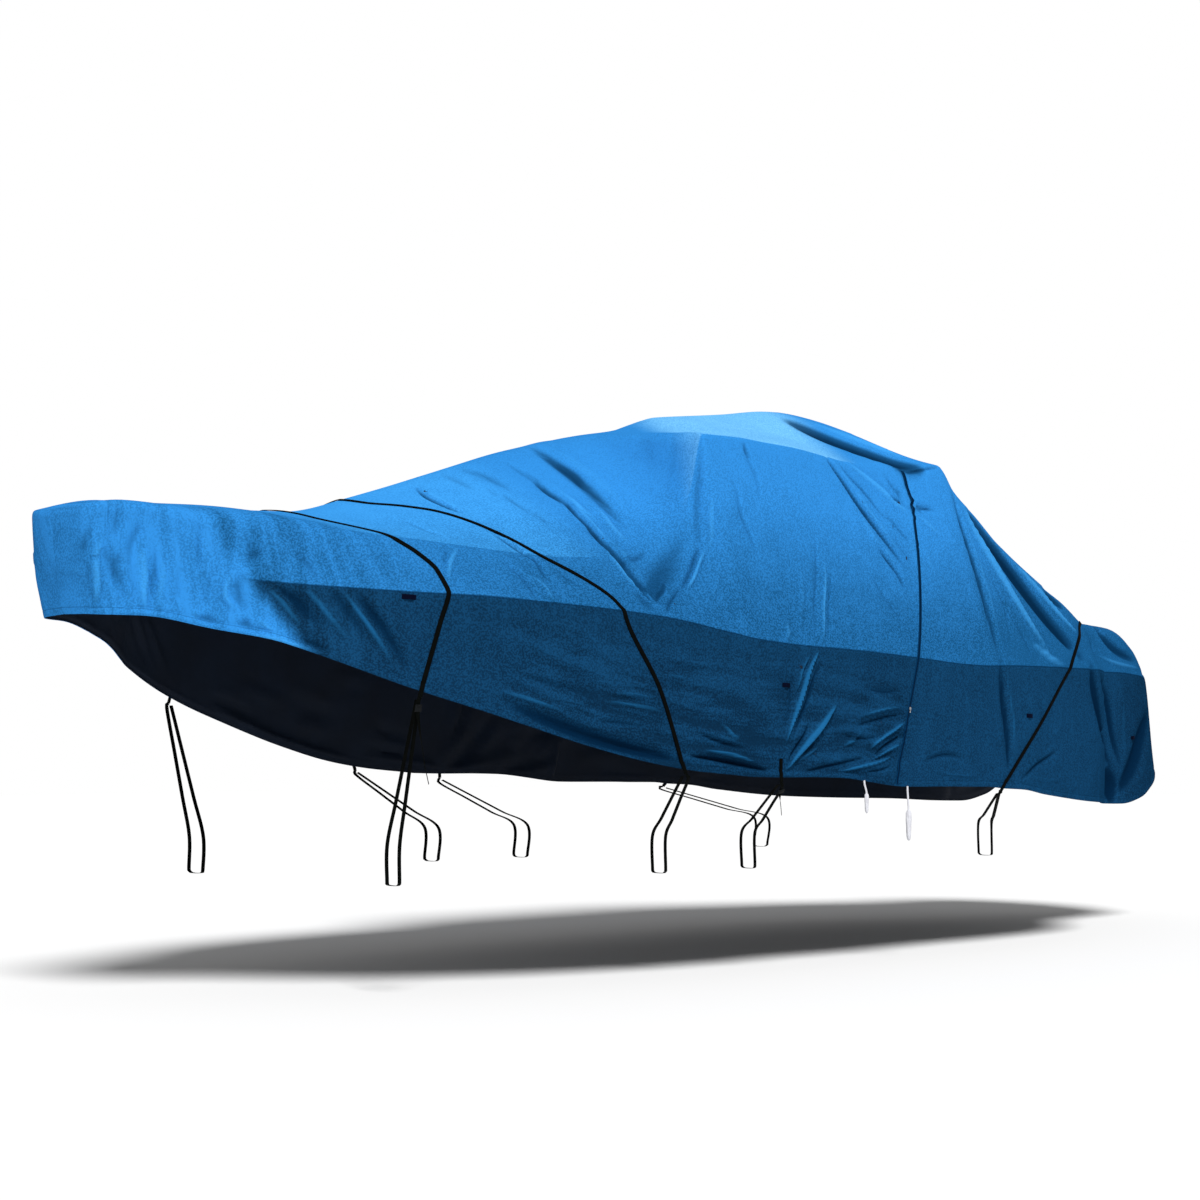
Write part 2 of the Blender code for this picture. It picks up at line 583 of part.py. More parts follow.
# Zip down the port side, over the line where the cloths meet
zip_places = -np.linspace(*ZIP_PLACES, ZIP_STEPS)
zip_points, zip_flats = cover(np.full(ZIP_STEPS, ZIP_STATION), zip_places)
zip_lift = STRIP_LIFT + ZIP_THICKNESS / 2
zip_points = seated(cloth_tree, zip_points, zip_flats, ZIP_WIDTH, zip_lift)
tape = laid_band("zip_tape", cloth_tree, zip_points, zip_flats, ZIP_WIDTH, ZIP_THICKNESS, DARK)

# Slider near the foot of the zip
row = int(np.argmin(np.abs(zip_places + SLIDER_PLACE)))
near = slice(row - 1, row + 2)
rise = PIECE_GAP + SLIDER_SIZE[1] / 2
slider_places = seated(tree_of([tape]), zip_points[near], zip_flats[near], SLIDER_SIZE[0], rise)
zip_way = zip_points[row + 1] - zip_points[row - 1]
plate("zip_slider", slider_places[1], zip_flats[row], zip_way, SLIDER_SIZE, STEEL)

# Over-cover straps, taut from hem to hem, each end a little below the hem
strap_ends = {}
for strap_name, rows in STRAPS.items():
    places = np.linspace(-STRAP_PLACE, STRAP_PLACE, STRAP_STEPS)
    stations = table_column(rows, 1, np.abs(places))
    for side, tip in lay_strap(strap_name, stations, places, (-1, 1), cloth_tree, BLACK).items():
        strap_ends[strap_name, side] = tip

# Hem straps, sewn to the gathered hem on each side
for side, word in ((-1, "port"), (1, "starboard")):
    places = side * np.linspace(*HEM_STRAP_PLACES, HEM_STRAP_STEPS)
    if side < 0:
        places = places[::-1]
    stations = np.full(HEM_STRAP_STEPS, HEM_STRAP_STATION)
    tips = lay_strap(f"strap_hem_{word}", stations, places, (side,), cloth_tree, BLACK)
    strap_ends["strap_hem", side] = tips[side]

# Legs: each strap goes on below the hem, turns back at its foot and comes up behind itself
legs = {}
for strap, leg, foot_station, foot_width in LEGS:
    for side, word in ((-1, "port"), (1, "starboard")):
        tip, down = strap_ends[strap, side]
        start = tip + down * PIECE_GAP
        route = smooth_route(leg_route(start, down, foot_station, foot_width, side), LEG_STEPS)
        route = np.vstack((start, start + down * LEG_FIRST, route[1:]))
        flats = across_strip(route, (side, 0, 0))
        piece = band(f"{leg}_{word}", route, flats, WEBBING_WIDTH, WEBBING_THICKNESS, BLACK)
        legs[strap, side] = (piece, route, -flats)

# Buckles on two of the port legs, and the webbing's free tails below them
for strap, offsets in TAILS.items():
    leg, route, faces = legs[f"strap_{strap}", -1]
    row = int(np.argmin(np.abs(np.linalg.norm(route - route[0], axis=-1)[:LEG_STEPS // 3] - BUCKLE_DROP)))
    near = slice(row - 1, row + 2)
    rise = PIECE_GAP + BUCKLE_SIZE[1] / 2
    centre = seated(tree_of([leg]), route[near], faces[near], WEBBING_WIDTH, rise)[1]
    way = route[row + 1] - route[row - 1]
    way /= np.linalg.norm(way)
    plate(f"buckle_{strap}", centre, faces[row], way, BUCKLE_SIZE, BLACK)
    foot = centre + faces[row] * TAIL_OUT + way * (BUCKLE_SIZE[2] / 2 + PIECE_GAP)
    start = foot + way * TAIL_FIRST
    route = smooth_route([start + np.array((aft, -out, up)) for aft, out, up in offsets], TAIL_STEPS - 1)
    route = np.vstack((foot, route))
    turn = np.clip(np.linspace(0, TAIL_TURN, TAIL_STEPS), 0, 1)[:, None]
    facing = faces[row] * (1 - turn) + np.array(TAIL_FACING) * turn
    band(f"tail_{strap}", route, facing, WEBBING_WIDTH, WEBBING_THICKNESS, BLACK)

# Belt loops sewn flat on the skirt
for number, (station, place) in enumerate(BELT_LOOPS, 1):
    for side, word in ((-1, "port"), (1, "starboard")):
        half = LOOP_LENGTH / 2
        stations = np.linspace(station - half, station + half, LOOP_STEPS)
        centres, flats = cover(stations, np.full(LOOP_STEPS, side * place))
        centres = seated(cloth_tree, centres, flats, LOOP_WIDTH, STRIP_LIFT + LOOP_THICKNESS / 2)
        laid_band(f"belt_loop_{number}_{word}", cloth_tree, centres, flats, LOOP_WIDTH, LOOP_THICKNESS, DARK)

# Two ties that hang from the port hem, each bundled at its end
for tie, station, offsets, length, radius in TIES:
    hem, _ = cover(np.array([station]), np.array([-STRAP_PLACE]))
    middle = hem[0] + np.array((0, CLOTH_THICKNESS / 2, -SEAT_REACH))
    gaps = []
    for aside in (-TIE_RADIUS, 0, TIE_RADIUS):
        hit = cloth_tree.ray_cast(Vector(middle + np.array((aside, 0, 0))), Vector((0, 0, 1)), 2 * SEAT_REACH)
        gaps.append(hit[3])
    top = middle + np.array((0, 0, min(gaps) - PIECE_GAP))
    points = smooth_route([top + np.array((aft, -out, up)) for aft, out, up in offsets], TIE_STEPS)
    cord(tie, points, TIE_RADIUS, WHITE)
    spindle(f"{tie}_bundle", points[-1] + np.array((0, 0, -PIECE_GAP * 2)), length, radius, WHITE)
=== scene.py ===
"""The looks of a fitted boat cover: coated cloth, zip, webbing, loops and ties, over its CAD frame."""
import math

import bmesh
import bpy
import numpy as np
from mathutils import Matrix, Vector
from mathutils.bvhtree import BVHTree
from mathutils.kdtree import KDTree


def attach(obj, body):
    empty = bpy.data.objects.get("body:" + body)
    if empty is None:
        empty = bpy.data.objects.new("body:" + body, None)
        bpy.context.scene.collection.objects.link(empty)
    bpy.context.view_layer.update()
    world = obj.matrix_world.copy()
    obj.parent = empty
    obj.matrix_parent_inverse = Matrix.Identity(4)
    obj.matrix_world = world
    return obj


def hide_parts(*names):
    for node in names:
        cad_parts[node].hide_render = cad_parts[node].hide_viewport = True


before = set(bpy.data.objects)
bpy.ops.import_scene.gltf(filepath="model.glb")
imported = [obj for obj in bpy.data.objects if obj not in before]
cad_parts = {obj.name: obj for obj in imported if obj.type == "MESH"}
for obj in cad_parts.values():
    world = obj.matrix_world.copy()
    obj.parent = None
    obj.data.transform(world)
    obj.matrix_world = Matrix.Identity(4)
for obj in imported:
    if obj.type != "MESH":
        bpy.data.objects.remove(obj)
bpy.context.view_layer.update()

# ---------------------------------------------------------------------------------------------------
# Photograph's view: a long lens 1.1 m above the ground, tilted slightly up and looking across the bow
# end's port side at 45 degrees.
# ---------------------------------------------------------------------------------------------------
SENSOR_WIDTH = 36.0
FOCAL_LENGTH = 69.0
CAMERA_PLACE = (-9.411, -8.648, -1.860)
CAMERA_TILT = 3.73
CAMERA_HEADING = -45.0

lens = bpy.data.cameras.new("photo_camera")
lens.sensor_width = SENSOR_WIDTH
lens.lens = FOCAL_LENGTH
camera = bpy.data.objects.new("photo_camera", lens)
camera.location = CAMERA_PLACE
camera.rotation_euler = (math.radians(90 + CAMERA_TILT), 0, math.radians(CAMERA_HEADING))
bpy.context.collection.objects.link(camera)
bpy.context.scene.camera = camera

# ---------------------------------------------------------------------------------------------------
# The two cloths: coated polyester, cut to the shape below it and sewn in panels, with a peaked roof,
# slopes down to a side line and a skirt that hangs to a folded hem. They meet along the side zip.
# ---------------------------------------------------------------------------------------------------
MOUNT_STATION = 4.20
MOUNT_HEIGHT = 2.96
CLOTH_THICKNESS = 0.0025
SEAM_GAP = 0.0006
ZIP_STATION = 4.60

# Half sections of the taut cover: stations run aft from the bow end, heights are above the ground.
# station, ridge height, roof edge half-width and height, side line half-width and height,
# hem half-width and height
SECTIONS = (
    (0.100, 2.120, 0.000, 2.100, 0.000, 1.900, 0.000, 1.685),
    (0.115, 2.145, 0.180, 2.130, 0.175, 1.900, 0.165, 1.680),
    (0.143, 2.160, 0.235, 2.150, 0.230, 1.900, 0.215, 1.677),
    (0.300, 2.185, 0.270, 2.170, 0.280, 1.900, 0.300, 1.675),
    (0.600, 2.195, 0.400, 2.150, 0.440, 1.860, 0.460, 1.620),
    (0.800, 2.200, 0.520, 2.140, 0.600, 1.825, 0.620, 1.575),
    (1.000, 2.200, 0.630, 2.100, 0.780, 1.810, 0.780, 1.495),
    (1.300, 2.215, 0.750, 2.055, 0.940, 1.795, 0.930, 1.380),
    (1.700, 2.315, 0.870, 2.025, 1.080, 1.780, 1.060, 1.260),
    (2.200, 2.460, 0.950, 2.000, 1.180, 1.757, 1.160, 1.120),
    (2.600, 2.590, 0.980, 2.000, 1.230, 1.730, 1.210, 1.035),
    (2.850, 2.660, 0.990, 2.050, 1.250, 1.700, 1.230, 1.000),
    (3.000, 2.705, 0.980, 2.170, 1.265, 1.675, 1.245, 0.987),
    (3.120, 2.728, 0.960, 2.380, 1.270, 1.658, 1.250, 0.978),
    (3.220, 2.750, 0.950, 2.680, 1.280, 1.640, 1.260, 0.970),
    (3.500, 2.805, 0.950, 2.680, 1.290, 1.620, 1.270, 0.965),
    (3.600, 2.833, 0.950, 2.677, 1.290, 1.615, 1.270, 0.965),
    (3.860, 2.925, 0.950, 2.672, 1.300, 1.605, 1.280, 0.960),
    (4.400, 2.990, 0.950, 2.640, 1.300, 1.585, 1.280, 0.910),
    (4.860, 3.050, 0.950, 2.670, 1.290, 1.560, 1.270, 0.905),
    (4.930, 3.045, 0.950, 2.674, 1.288, 1.558, 1.268, 0.903),
    (5.170, 2.880, 0.950, 2.685, 1.280, 1.555, 1.260, 0.900),
    (5.290, 2.720, 0.950, 2.577, 1.280, 1.560, 1.260, 0.890),
    (5.500, 2.520, 0.950, 2.455, 1.280, 1.565, 1.260, 0.880),
    (5.730, 2.360, 0.950, 2.298, 1.270, 1.568, 1.250, 0.850),
    (6.310, 2.100, 0.920, 2.045, 1.200, 1.567, 1.180, 0.800),
    (6.700, 1.970, 0.830, 1.930, 1.020, 1.567, 1.000, 0.785),
    (6.960, 1.920, 0.700, 1.900, 0.820, 1.580, 0.800, 0.780),
    (7.240, 1.910, 0.580, 1.900, 0.680, 1.590, 0.660, 0.765),
    (7.500, 1.900, 0.580, 1.890, 0.640, 1.595, 0.620, 0.760),
    (7.750, 1.820, 0.550, 1.785, 0.590, 1.590, 0.610, 0.800),
    (7.900, 1.720, 0.510, 1.670, 0.545, 1.585, 0.595, 0.870),
    (8.020, 1.620, 0.440, 1.590, 0.490, 1.550, 0.550, 0.940),
    (8.100, 1.540, 0.300, 1.520, 0.350, 1.480, 0.420, 0.990),
    (8.140, 1.500, 0.000, 1.480, 0.000, 1.430, 0.000, 1.000),
)

# How far the bow end leans aft at its hem, and the station where the lean has died out
BOW_LEAN = 0.070
BOW_LEAN_END = 0.90

# How round the roof is at its ridge: 1 would be a flat panel
RIDGE_EASE = 1.3

# How far the cut of the cloth runs off the square:
# station, shift at the ridge, at the roof edge, at the side line, at the hem, bow of the side panel
SLANTS = (
    (4.00, 0.00, 0.00, 0.00, 0.00, 0.00),
    (4.60, 0.20, 0.24, -0.10, -0.28, 0.08),
    (5.00, -0.07, 0.17, 0.00, 0.00, 0.00),
    (6.00, 0.00, 0.00, 0.00, 0.00, 0.00),
)

# How round the cloth runs over the roof edge and over the side line, as a part of a panel:
# station, at the roof edge, at the side line
ROUNDINGS = (
    (0.10, 0.12, 0.20),
    (0.40, 0.20, 0.40),
    (0.75, 0.30, 0.30),
    (1.10, 0.14, 0.05),
    (1.50, 0.06, 0.022),
    (2.10, 0.09, 0.018),
    (2.90, 0.16, 0.018),
    (3.20, 0.030, 0.018),
    (5.00, 0.030, 0.018),
    (5.60, 0.08, 0.020),
    (6.60, 0.16, 0.025),
    (7.40, 0.30, 0.040),
    (8.14, 0.30, 0.10),
)

# Folds of the port side as they run in the photograph, in its pixels, mirrored and slightly shifted on
# the other side. A fold is a trough or a ridge of its height, with a lip of the opposite sense beside it.
# first point x and y, middle point x and y, last point x and y, half-width, height, lip
FOLDS = (
    # below the roof edge, running down to the zip
    (824, 455, 862, 507, 908, 570, 0.018, -0.026, 0.5),
    (850, 502, 878, 542, 904, 580, 0.012, 0.012, 0.0),
    (876, 541, 893, 565, 908, 590, 0.016, -0.022, 0.3),
    (838, 461, 864, 491, 890, 522, 0.014, -0.014, 0.3),
    (846, 460, 880, 489, 917, 520, 0.020, 0.018, 0.3),
    (882, 511, 900, 529, 918, 548, 0.014, -0.012, 0.4),
    (888, 532, 904, 550, 918, 568, 0.014, -0.009, 0.4),
    (884, 474, 896, 488, 907, 500, 0.014, -0.012, 0.2),
    (888, 494, 900, 501, 914, 504, 0.016, -0.014, 0.2),
    (900, 501, 916, 506, 940, 511, 0.015, -0.016, 0.3),
    (904, 466, 907, 485, 911, 504, 0.014, -0.012, 0.0),
    (918, 516, 929, 525, 942, 536, 0.016, 0.012, 0.2),
    (923, 548, 930, 560, 936, 580, 0.018, 0.007, 0.0),
    (866, 570, 888, 600, 908, 632, 0.015, -0.009, 0.5),
    (890, 640, 904, 648, 917, 655, 0.012, 0.007, 0.2),
    (908, 472, 925, 469, 940, 468, 0.010, -0.010, 0.3),
    # roof
    (784, 418, 862, 449, 926, 468, 0.080, -0.046, 0.4),
    (838, 431, 872, 442, 912, 456, 0.050, 0.006, 0.0),
    (741, 441, 745, 450, 752, 460, 0.018, -0.008, 0.0),
    # side panel ahead of the zip
    (701, 440, 697, 500, 699, 556, 0.022, -0.009, 0.3),
    (711, 490, 712, 522, 709, 552, 0.018, 0.010, 0.2),
    (706, 548, 694, 574, 684, 592, 0.014, 0.013, 0.3),
    (700, 548, 692, 568, 680, 600, 0.015, -0.014, 0.3),
    (722, 560, 716, 585, 714, 602, 0.010, 0.006, 0.4),
    (666, 580, 662, 592, 656, 600, 0.010, -0.010, 0.4),
    (680, 585, 672, 602, 665, 614, 0.010, -0.012, 0.5),
    (734, 480, 745, 520, 757, 552, 0.018, -0.009, 0.3),
    (743, 445, 752, 470, 762, 500, 0.020, -0.007, 0.2),
    (788, 620, 788, 631, 788, 641, 0.014, 0.010, 0.0),
    (801, 560, 801, 600, 801, 642, 0.012, 0.006, 0.2),
    (816, 530, 815, 588, 815, 642, 0.011, -0.010, 0.3),
    (823, 555, 823, 600, 821, 645, 0.011, 0.014, 0.2),
    (830, 565, 829, 605, 825, 645, 0.011, -0.010, 0.3),
    # aft slope
    (948, 474, 968, 545, 1004, 664, 0.026, -0.026, 0.4),
    (961, 492, 986, 552, 1050, 652, 0.032, 0.026, 0.0),
    (968, 508, 1018, 580, 1084, 662, 0.058, -0.046, 0.0),
    (1000, 548, 1043, 598, 1082, 640, 0.026, 0.022, 0.0),
    (1000, 562, 1044, 616, 1088, 660, 0.070, -0.013, 0.0),
    (1020, 563, 1056, 599, 1092, 624, 0.048, -0.032, 0.0),
    (952, 484, 990, 531, 1036, 578, 0.036, -0.022, 0.0),
    (987, 568, 1002, 600, 1012, 640, 0.012, -0.008, 0.5),
    (1002, 596, 1022, 634, 1040, 662, 0.012, -0.010, 0.5),
    (1030, 640, 1048, 656, 1066, 664, 0.030, 0.014, 0.0),
    (1090, 622, 1112, 646, 1140, 664, 0.026, -0.030, 0.2),
    (1090, 640, 1094, 652, 1096, 664, 0.024, -0.020, 0.0),
    (1096, 655, 1120, 664, 1142, 669, 0.018, 0.010, 0.0),
    # front slope
    (414, 485, 437, 501, 466, 512, 0.015, -0.022, 0.5),
    (430, 470, 452, 478, 480, 492, 0.040, -0.008, 0.3),
    (484, 524, 507, 540, 539, 561, 0.014, -0.024, 0.6),
    (532, 556, 541, 567, 548, 584, 0.014, -0.013, 0.4),
    (552, 562, 566, 576, 586, 590, 0.018, -0.010, 0.4),
    (541, 550, 553, 560, 562, 574, 0.016, 0.013, 0.0),
    (534, 482, 556, 496, 578, 512, 0.028, -0.015, 0.4),
    (566, 502, 584, 522, 606, 546, 0.017, -0.022, 0.5),
    (590, 528, 616, 556, 648, 592, 0.028, -0.026, 0.3),
    (604, 546, 626, 577, 664, 612, 0.011, 0.016, 0.3),
    (642, 585, 654, 600, 670, 613, 0.012, 0.010, 0.0),
    (640, 604, 656, 586, 684, 528, 0.080, -0.014, 0.0),
    (528, 446, 574, 476, 626, 528, 0.045, -0.020, 0.4),
    (556, 462, 572, 472, 584, 486, 0.022, -0.010, 0.2),
    (504, 462, 534, 479, 560, 502, 0.034, -0.010, 0.4),
    (480, 486, 520, 506, 562, 532, 0.026, -0.010, 0.4),
    (594, 504, 611, 526, 630, 545, 0.018, 0.012, 0.0),
    (562, 496, 580, 508, 598, 524, 0.020, 0.010, 0.0),
    (618, 562, 632, 559, 646, 551, 0.022, -0.012, 0.2),
    (446, 466, 480, 474, 516, 494, 0.045, -0.010, 0.3),
    (503, 560, 524, 580, 541, 602, 0.016, -0.010, 0.5),
    (528, 575, 545, 588, 556, 604, 0.014, 0.009, 0.0),
    (447, 542, 445, 558, 444, 576, 0.011, -0.009, 0.2),
    (458, 546, 450, 565, 446, 592, 0.015, 0.012, 0.2),
    (400, 518, 424, 528, 448, 538, 0.020, -0.008, 0.3),
    (640, 430, 648, 448, 652, 470, 0.040, -0.006, 0.2),
    (676, 430, 674, 462, 668, 492, 0.030, -0.006, 0.3),
    # bow end
    (97, 518, 82, 546, 84, 566, 0.032, -0.010, 0.4),
    (84, 560, 86, 580, 90, 602, 0.028, -0.008, 0.4),
    (73, 545, 76, 562, 82, 576, 0.018, 0.010, 0.2),
    (56, 560, 58, 580, 64, 604, 0.040, -0.006, 0.3),
    (98, 540, 97, 575, 96, 608, 0.020, 0.010, 0.2),
    (119, 510, 116, 524, 114, 540, 0.026, -0.008, 0.3),
    (103, 548, 112, 562, 118, 586, 0.040, -0.008, 0.0),
    (116, 570, 121, 585, 121, 608, 0.026, -0.006, 0.3),
    (122, 552, 118, 562, 113, 576, 0.020, -0.004, 0.0),
    (142, 522, 132, 544, 128, 566, 0.022, -0.009, 0.5),
    (128, 560, 130, 585, 133, 606, 0.022, -0.008, 0.3),
    (126, 574, 128, 590, 129, 610, 0.012, 0.010, 0.0),
    (144, 548, 144, 578, 147, 611, 0.022, 0.012, 0.0),
    (156, 546, 153, 578, 150, 612, 0.016, -0.010, 0.5),
    (165, 560, 163, 585, 160, 610, 0.016, 0.006, 0.0),
    (197, 520, 199, 545, 196, 574, 0.014, -0.008, 0.4),
    (180, 560, 177, 585, 172, 608, 0.018, -0.006, 0.4),
    (216, 566, 208, 588, 202, 612, 0.020, -0.006, 0.4),
    (226, 531, 224, 546, 221, 564, 0.030, -0.007, 0.2),
    (244, 538, 251, 550, 245, 572, 0.030, -0.009, 0.3),
    (264, 549, 258, 554, 252, 560, 0.024, -0.007, 0.0),
    (236, 570, 226, 592, 238, 612, 0.016, 0.012, 0.0),
    (246, 572, 237, 592, 248, 612, 0.032, -0.011, 0.2),
    (264, 574, 258, 588, 264, 606, 0.040, -0.009, 0.0),
    (296, 552, 307, 564, 320, 582, 0.022, -0.009, 0.3),
    (266, 586, 284, 604, 304, 628, 0.018, 0.012, 0.4),
    (276, 586, 300, 604, 322, 630, 0.030, -0.014, 0.0),
    (300, 588, 322, 606, 348, 642, 0.018, 0.011, 0.3),
    (326, 588, 348, 610, 368, 646, 0.026, -0.013, 0.3),
    (340, 590, 366, 622, 396, 668, 0.016, 0.012, 0.4),
    (352, 590, 380, 622, 412, 676, 0.022, -0.015, 0.3),
    (198, 620, 207, 619, 218, 624, 0.020, -0.010, 0.2),
    (238, 626, 246, 624, 256, 630, 0.020, -0.011, 0.2),
    (246, 634, 284, 642, 326, 655, 0.016, 0.011, 0.3),
    (256, 618, 272, 630, 292, 640, 0.018, 0.009, 0.3),
    (300, 636, 312, 644, 330, 652, 0.018, -0.009, 0.0),
    # skirt
    (818, 650, 804, 688, 786, 745, 0.012, 0.029, 0.4),
    (822, 660, 809, 700, 794, 740, 0.012, -0.019, 0.0),
    (838, 704, 814, 736, 784, 771, 0.018, 0.028, 0.4),
    (812, 722, 800, 745, 785, 768, 0.011, -0.022, 0.0),
    (820, 745, 806, 756, 790, 768, 0.010, 0.013, 0.3),
    (811, 650, 803, 672, 796, 694, 0.010, 0.013, 0.4),
    (796, 660, 792, 700, 786, 728, 0.014, -0.010, 0.3),
    (702, 750, 729, 754, 758, 763, 0.010, 0.017, 0.3),
    (698, 732, 720, 742, 748, 748, 0.012, -0.017, 0.5),
    (720, 722, 730, 733, 740, 738, 0.014, 0.012, 0.2),
    (690, 756, 730, 762, 768, 771, 0.011, -0.032, 0.0),
    (500, 700, 600, 740, 682, 759, 0.028, -0.030, 0.0),
    (838, 771, 866, 765, 892, 756, 0.009, 0.019, 0.3),
    (806, 772, 838, 764, 866, 758, 0.010, -0.017, 0.3),
    (868, 772, 880, 770, 892, 766, 0.009, -0.014, 0.2),
    (906, 722, 888, 733, 868, 750, 0.011, 0.020, 0.3),
    (908, 731, 890, 743, 872, 757, 0.010, -0.019, 0.0),
    (904, 741, 886, 751, 866, 762, 0.010, 0.014, 0.2),
    (900, 708, 880, 710, 860, 717, 0.010, 0.013, 0.4),
    (904, 715, 880, 719, 856, 727, 0.011, -0.016, 0.3),
    (884, 736, 862, 739, 844, 735, 0.012, -0.013, 0.4),
    (866, 728, 852, 741, 842, 746, 0.012, 0.010, 0.3),
    (900, 690, 882, 692, 862, 686, 0.014, -0.012, 0.4),
    (904, 744, 902, 762, 897, 780, 0.013, -0.029, 0.2),
    (600, 701, 635, 705, 670, 713, 0.011, 0.012, 0.5),
    (610, 693, 632, 694, 656, 699, 0.010, 0.009, 0.4),
    (596, 722, 622, 723, 648, 729, 0.012, -0.011, 0.4),
    (500, 690, 532, 700, 566, 712, 0.014, 0.011, 0.4),
    (520, 676, 552, 684, 588, 694, 0.014, -0.009, 0.4),
    (664, 664, 690, 668, 712, 672, 0.012, -0.007, 0.4),
    (664, 674, 676, 676, 690, 676, 0.010, 0.007, 0.2),
    (1001, 656, 1006, 716, 1010, 776, 0.026, -0.026, 0.4),
    (984, 688, 990, 720, 1000, 756, 0.014, 0.004, 0.4),
    (962, 680, 966, 700, 972, 720, 0.016, 0.006, 0.3),
    (934, 770, 950, 774, 978, 776, 0.010, 0.006, 0.3),
    (924, 762, 946, 755, 964, 760, 0.014, -0.012, 0.4),
    (1020, 780, 1040, 764, 1058, 750, 0.014, -0.014, 0.4),
    (1034, 778, 1050, 780, 1064, 778, 0.020, 0.005, 0.2),
    (1064, 700, 1060, 724, 1048, 744, 0.020, 0.004, 0.3),
    (1092, 662, 1098, 712, 1112, 768, 0.045, -0.030, 0.0),
    (1100, 672, 1110, 716, 1121, 768, 0.035, -0.026, 0.0),
    (1100, 716, 1107, 745, 1118, 772, 0.014, 0.005, 0.0),
    (1120, 684, 1124, 726, 1122, 766, 0.040, 0.006, 0.0),
    (1149, 700, 1141, 744, 1118, 792, 0.060, -0.036, 0.0),
    (1150, 745, 1142, 770, 1126, 793, 0.030, 0.006, 0.0),
    (1104, 772, 1110, 786, 1116, 798, 0.080, -0.040, 0.0),
)
PHOTO_SIZE = 1200

# A fold's taper to its ends and its half-width there, where its lip lies and how far out it is felt in
# half-widths, and the least rise that counts
FOLD_TAPER = 0.6
FOLD_NARROWED = 0.5
LIP_PLACE = 1.7
FOLD_REACH = 4
LEAST_RISE = 0.0002

# Points on a fold's line, how many pixels it wavers, and how far that wave turns in radians
FOLD_POINTS = 14
FOLD_WAVER = 0.8
WAVER_TURN = 9

# How many lines along and across the taut cover the folds' points are aimed at
AIM_LINES = (400, 241)

# The mirrored folds' shift and least half-width, and how far past the middle a fold's points may lie
MIRROR_SHIFT = 0.05
FAR_WIDTH = 0.030
FAR_SIDE = 0.20

# The straps' ways over the cover, as place across and station. A strap presses the folds flat this far
# to each side, as felt from this many marks along it.
STRAPS = {
    "strap_bow": ((0, 1.22), (0.5, 1.22), (0.85, 1.30), (1.0, 1.34), (1.3, 1.43), (1.6, 1.48),
                  (1.9, 1.485), (2.3, 1.445), (3.0, 1.37)),
    "strap_middle": ((0, 1.66), (0.2, 1.69), (0.36, 1.80), (0.5, 1.91), (0.75, 2.03), (1.0, 2.12),
                     (1.4, 2.265), (1.8, 2.37), (2.0, 2.39), (2.5, 2.61), (3.0, 2.77)),
    "strap_aft": ((0, 7.12), (0.6, 7.08), (1.0, 6.94), (1.12, 6.75), (1.58, 6.34), (2.09, 5.93),
                  (2.6, 5.56), (3.0, 5.28)),
}
PRESSED = 0.030
STRAP_MARKS = 600

# Slow swells of the cloth between what carries it: waves along, waves across, phase, height
SWELLS = (
    (0.9, 0.7, 0.4, 0.0040),
    (1.7, 0.5, 2.1, 0.0030),
    (2.6, 1.6, 4.4, 0.0016),
    (0.6, 2.1, 1.2, 0.0025),
    (3.9, 0.9, 5.3, 0.0010),
)

# The hem's tube: half its width, its rise, and the depth of the stitched groove over it as a part of
# that rise. The tube, the groove and the swells die out over this distance at the two ends.
HEM_TUBE = 0.012
HEM_RISE = 0.004
HEM_GROOVE = 0.7
END_MARGIN = 0.2

# Where the mesh lines lie: first station or place, last, spacing
FRONT_ROWS = ((0.100, 0.148, 0.012), (0.148, 1.30, 0.025), (1.30, ZIP_STATION - SEAM_GAP / 2, 0.033))
AFT_ROWS = ((ZIP_STATION + SEAM_GAP / 2, 8.02, 0.028), (8.02, 8.14, 0.015))
HALF_COLUMNS = ((0, 0.94, 0.050), (0.94, 1.06, 0.020), (1.06, 1.97, 0.042), (1.97, 2.03, 0.010),
                (2.03, 2.90, 0.048), (2.90, 3.0, 0.016))

# Mesh lines are this many times closer beside folds up to this half-width, this many widths and this
# far out
FINER = 3
FINE_WIDTH = 0.025
FINE_REACH = 1.3
FINE_MARGIN = 0.010

# Points closer than this are one, normals are measured over this step, and edges of the cloth steeper
# than this stay sharp
WELD = 0.00005
NORMAL_STEP = 0.004
CLOTH_SHARP = 60


def lines(spans):
    """Evenly spaced mesh lines in each span, its ends included once."""
    stretches = []
    for start, end, spacing in spans:
        count = max(1, round((end - start) / spacing))
        stretches.append(np.linspace(start, end, count + 1)[:-1])
    return np.concatenate(stretches + [[spans[-1][1]]])


def table_column(table, column, stations):
    """Smooth values of one column between its rows, without overshoot."""
    rows = np.array(table, dtype=float)
    xs, ys = rows[:, 0], rows[:, column]
    steps = np.diff(xs)
    slopes = np.diff(ys) / steps
    before, after = slopes[:-1], slopes[1:]
    total = before + after
    inner = np.where(before * after > 0, 2 * before * after / np.where(total == 0, 1, total), 0)
    tangents = np.concatenate(([slopes[0]], inner, [slopes[-1]]))
    x = np.clip(stations, xs[0], xs[-1])
    i = np.clip(np.searchsorted(xs, x, side="right") - 1, 0, len(steps) - 1)
    t = (x - xs[i]) / steps[i]
    start, end = tangents[i] * steps[i], tangents[i + 1] * steps[i]
    rise = ys[i + 1] - ys[i]
    return ys[i] + start * t + (3 * rise - 2 * start - end) * t**2 + (start + end - 2 * rise) * t**3


def straight_column(table, column, stations):
    """Values of one column, straight between its rows."""
    rows = np.array(table, dtype=float)
    return np.interp(stations, rows[:, 0], rows[:, column])


def unit(vectors):
    """The vectors at a length of one."""
    return vectors / np.linalg.norm(vectors, axis=-1, keepdims=True)


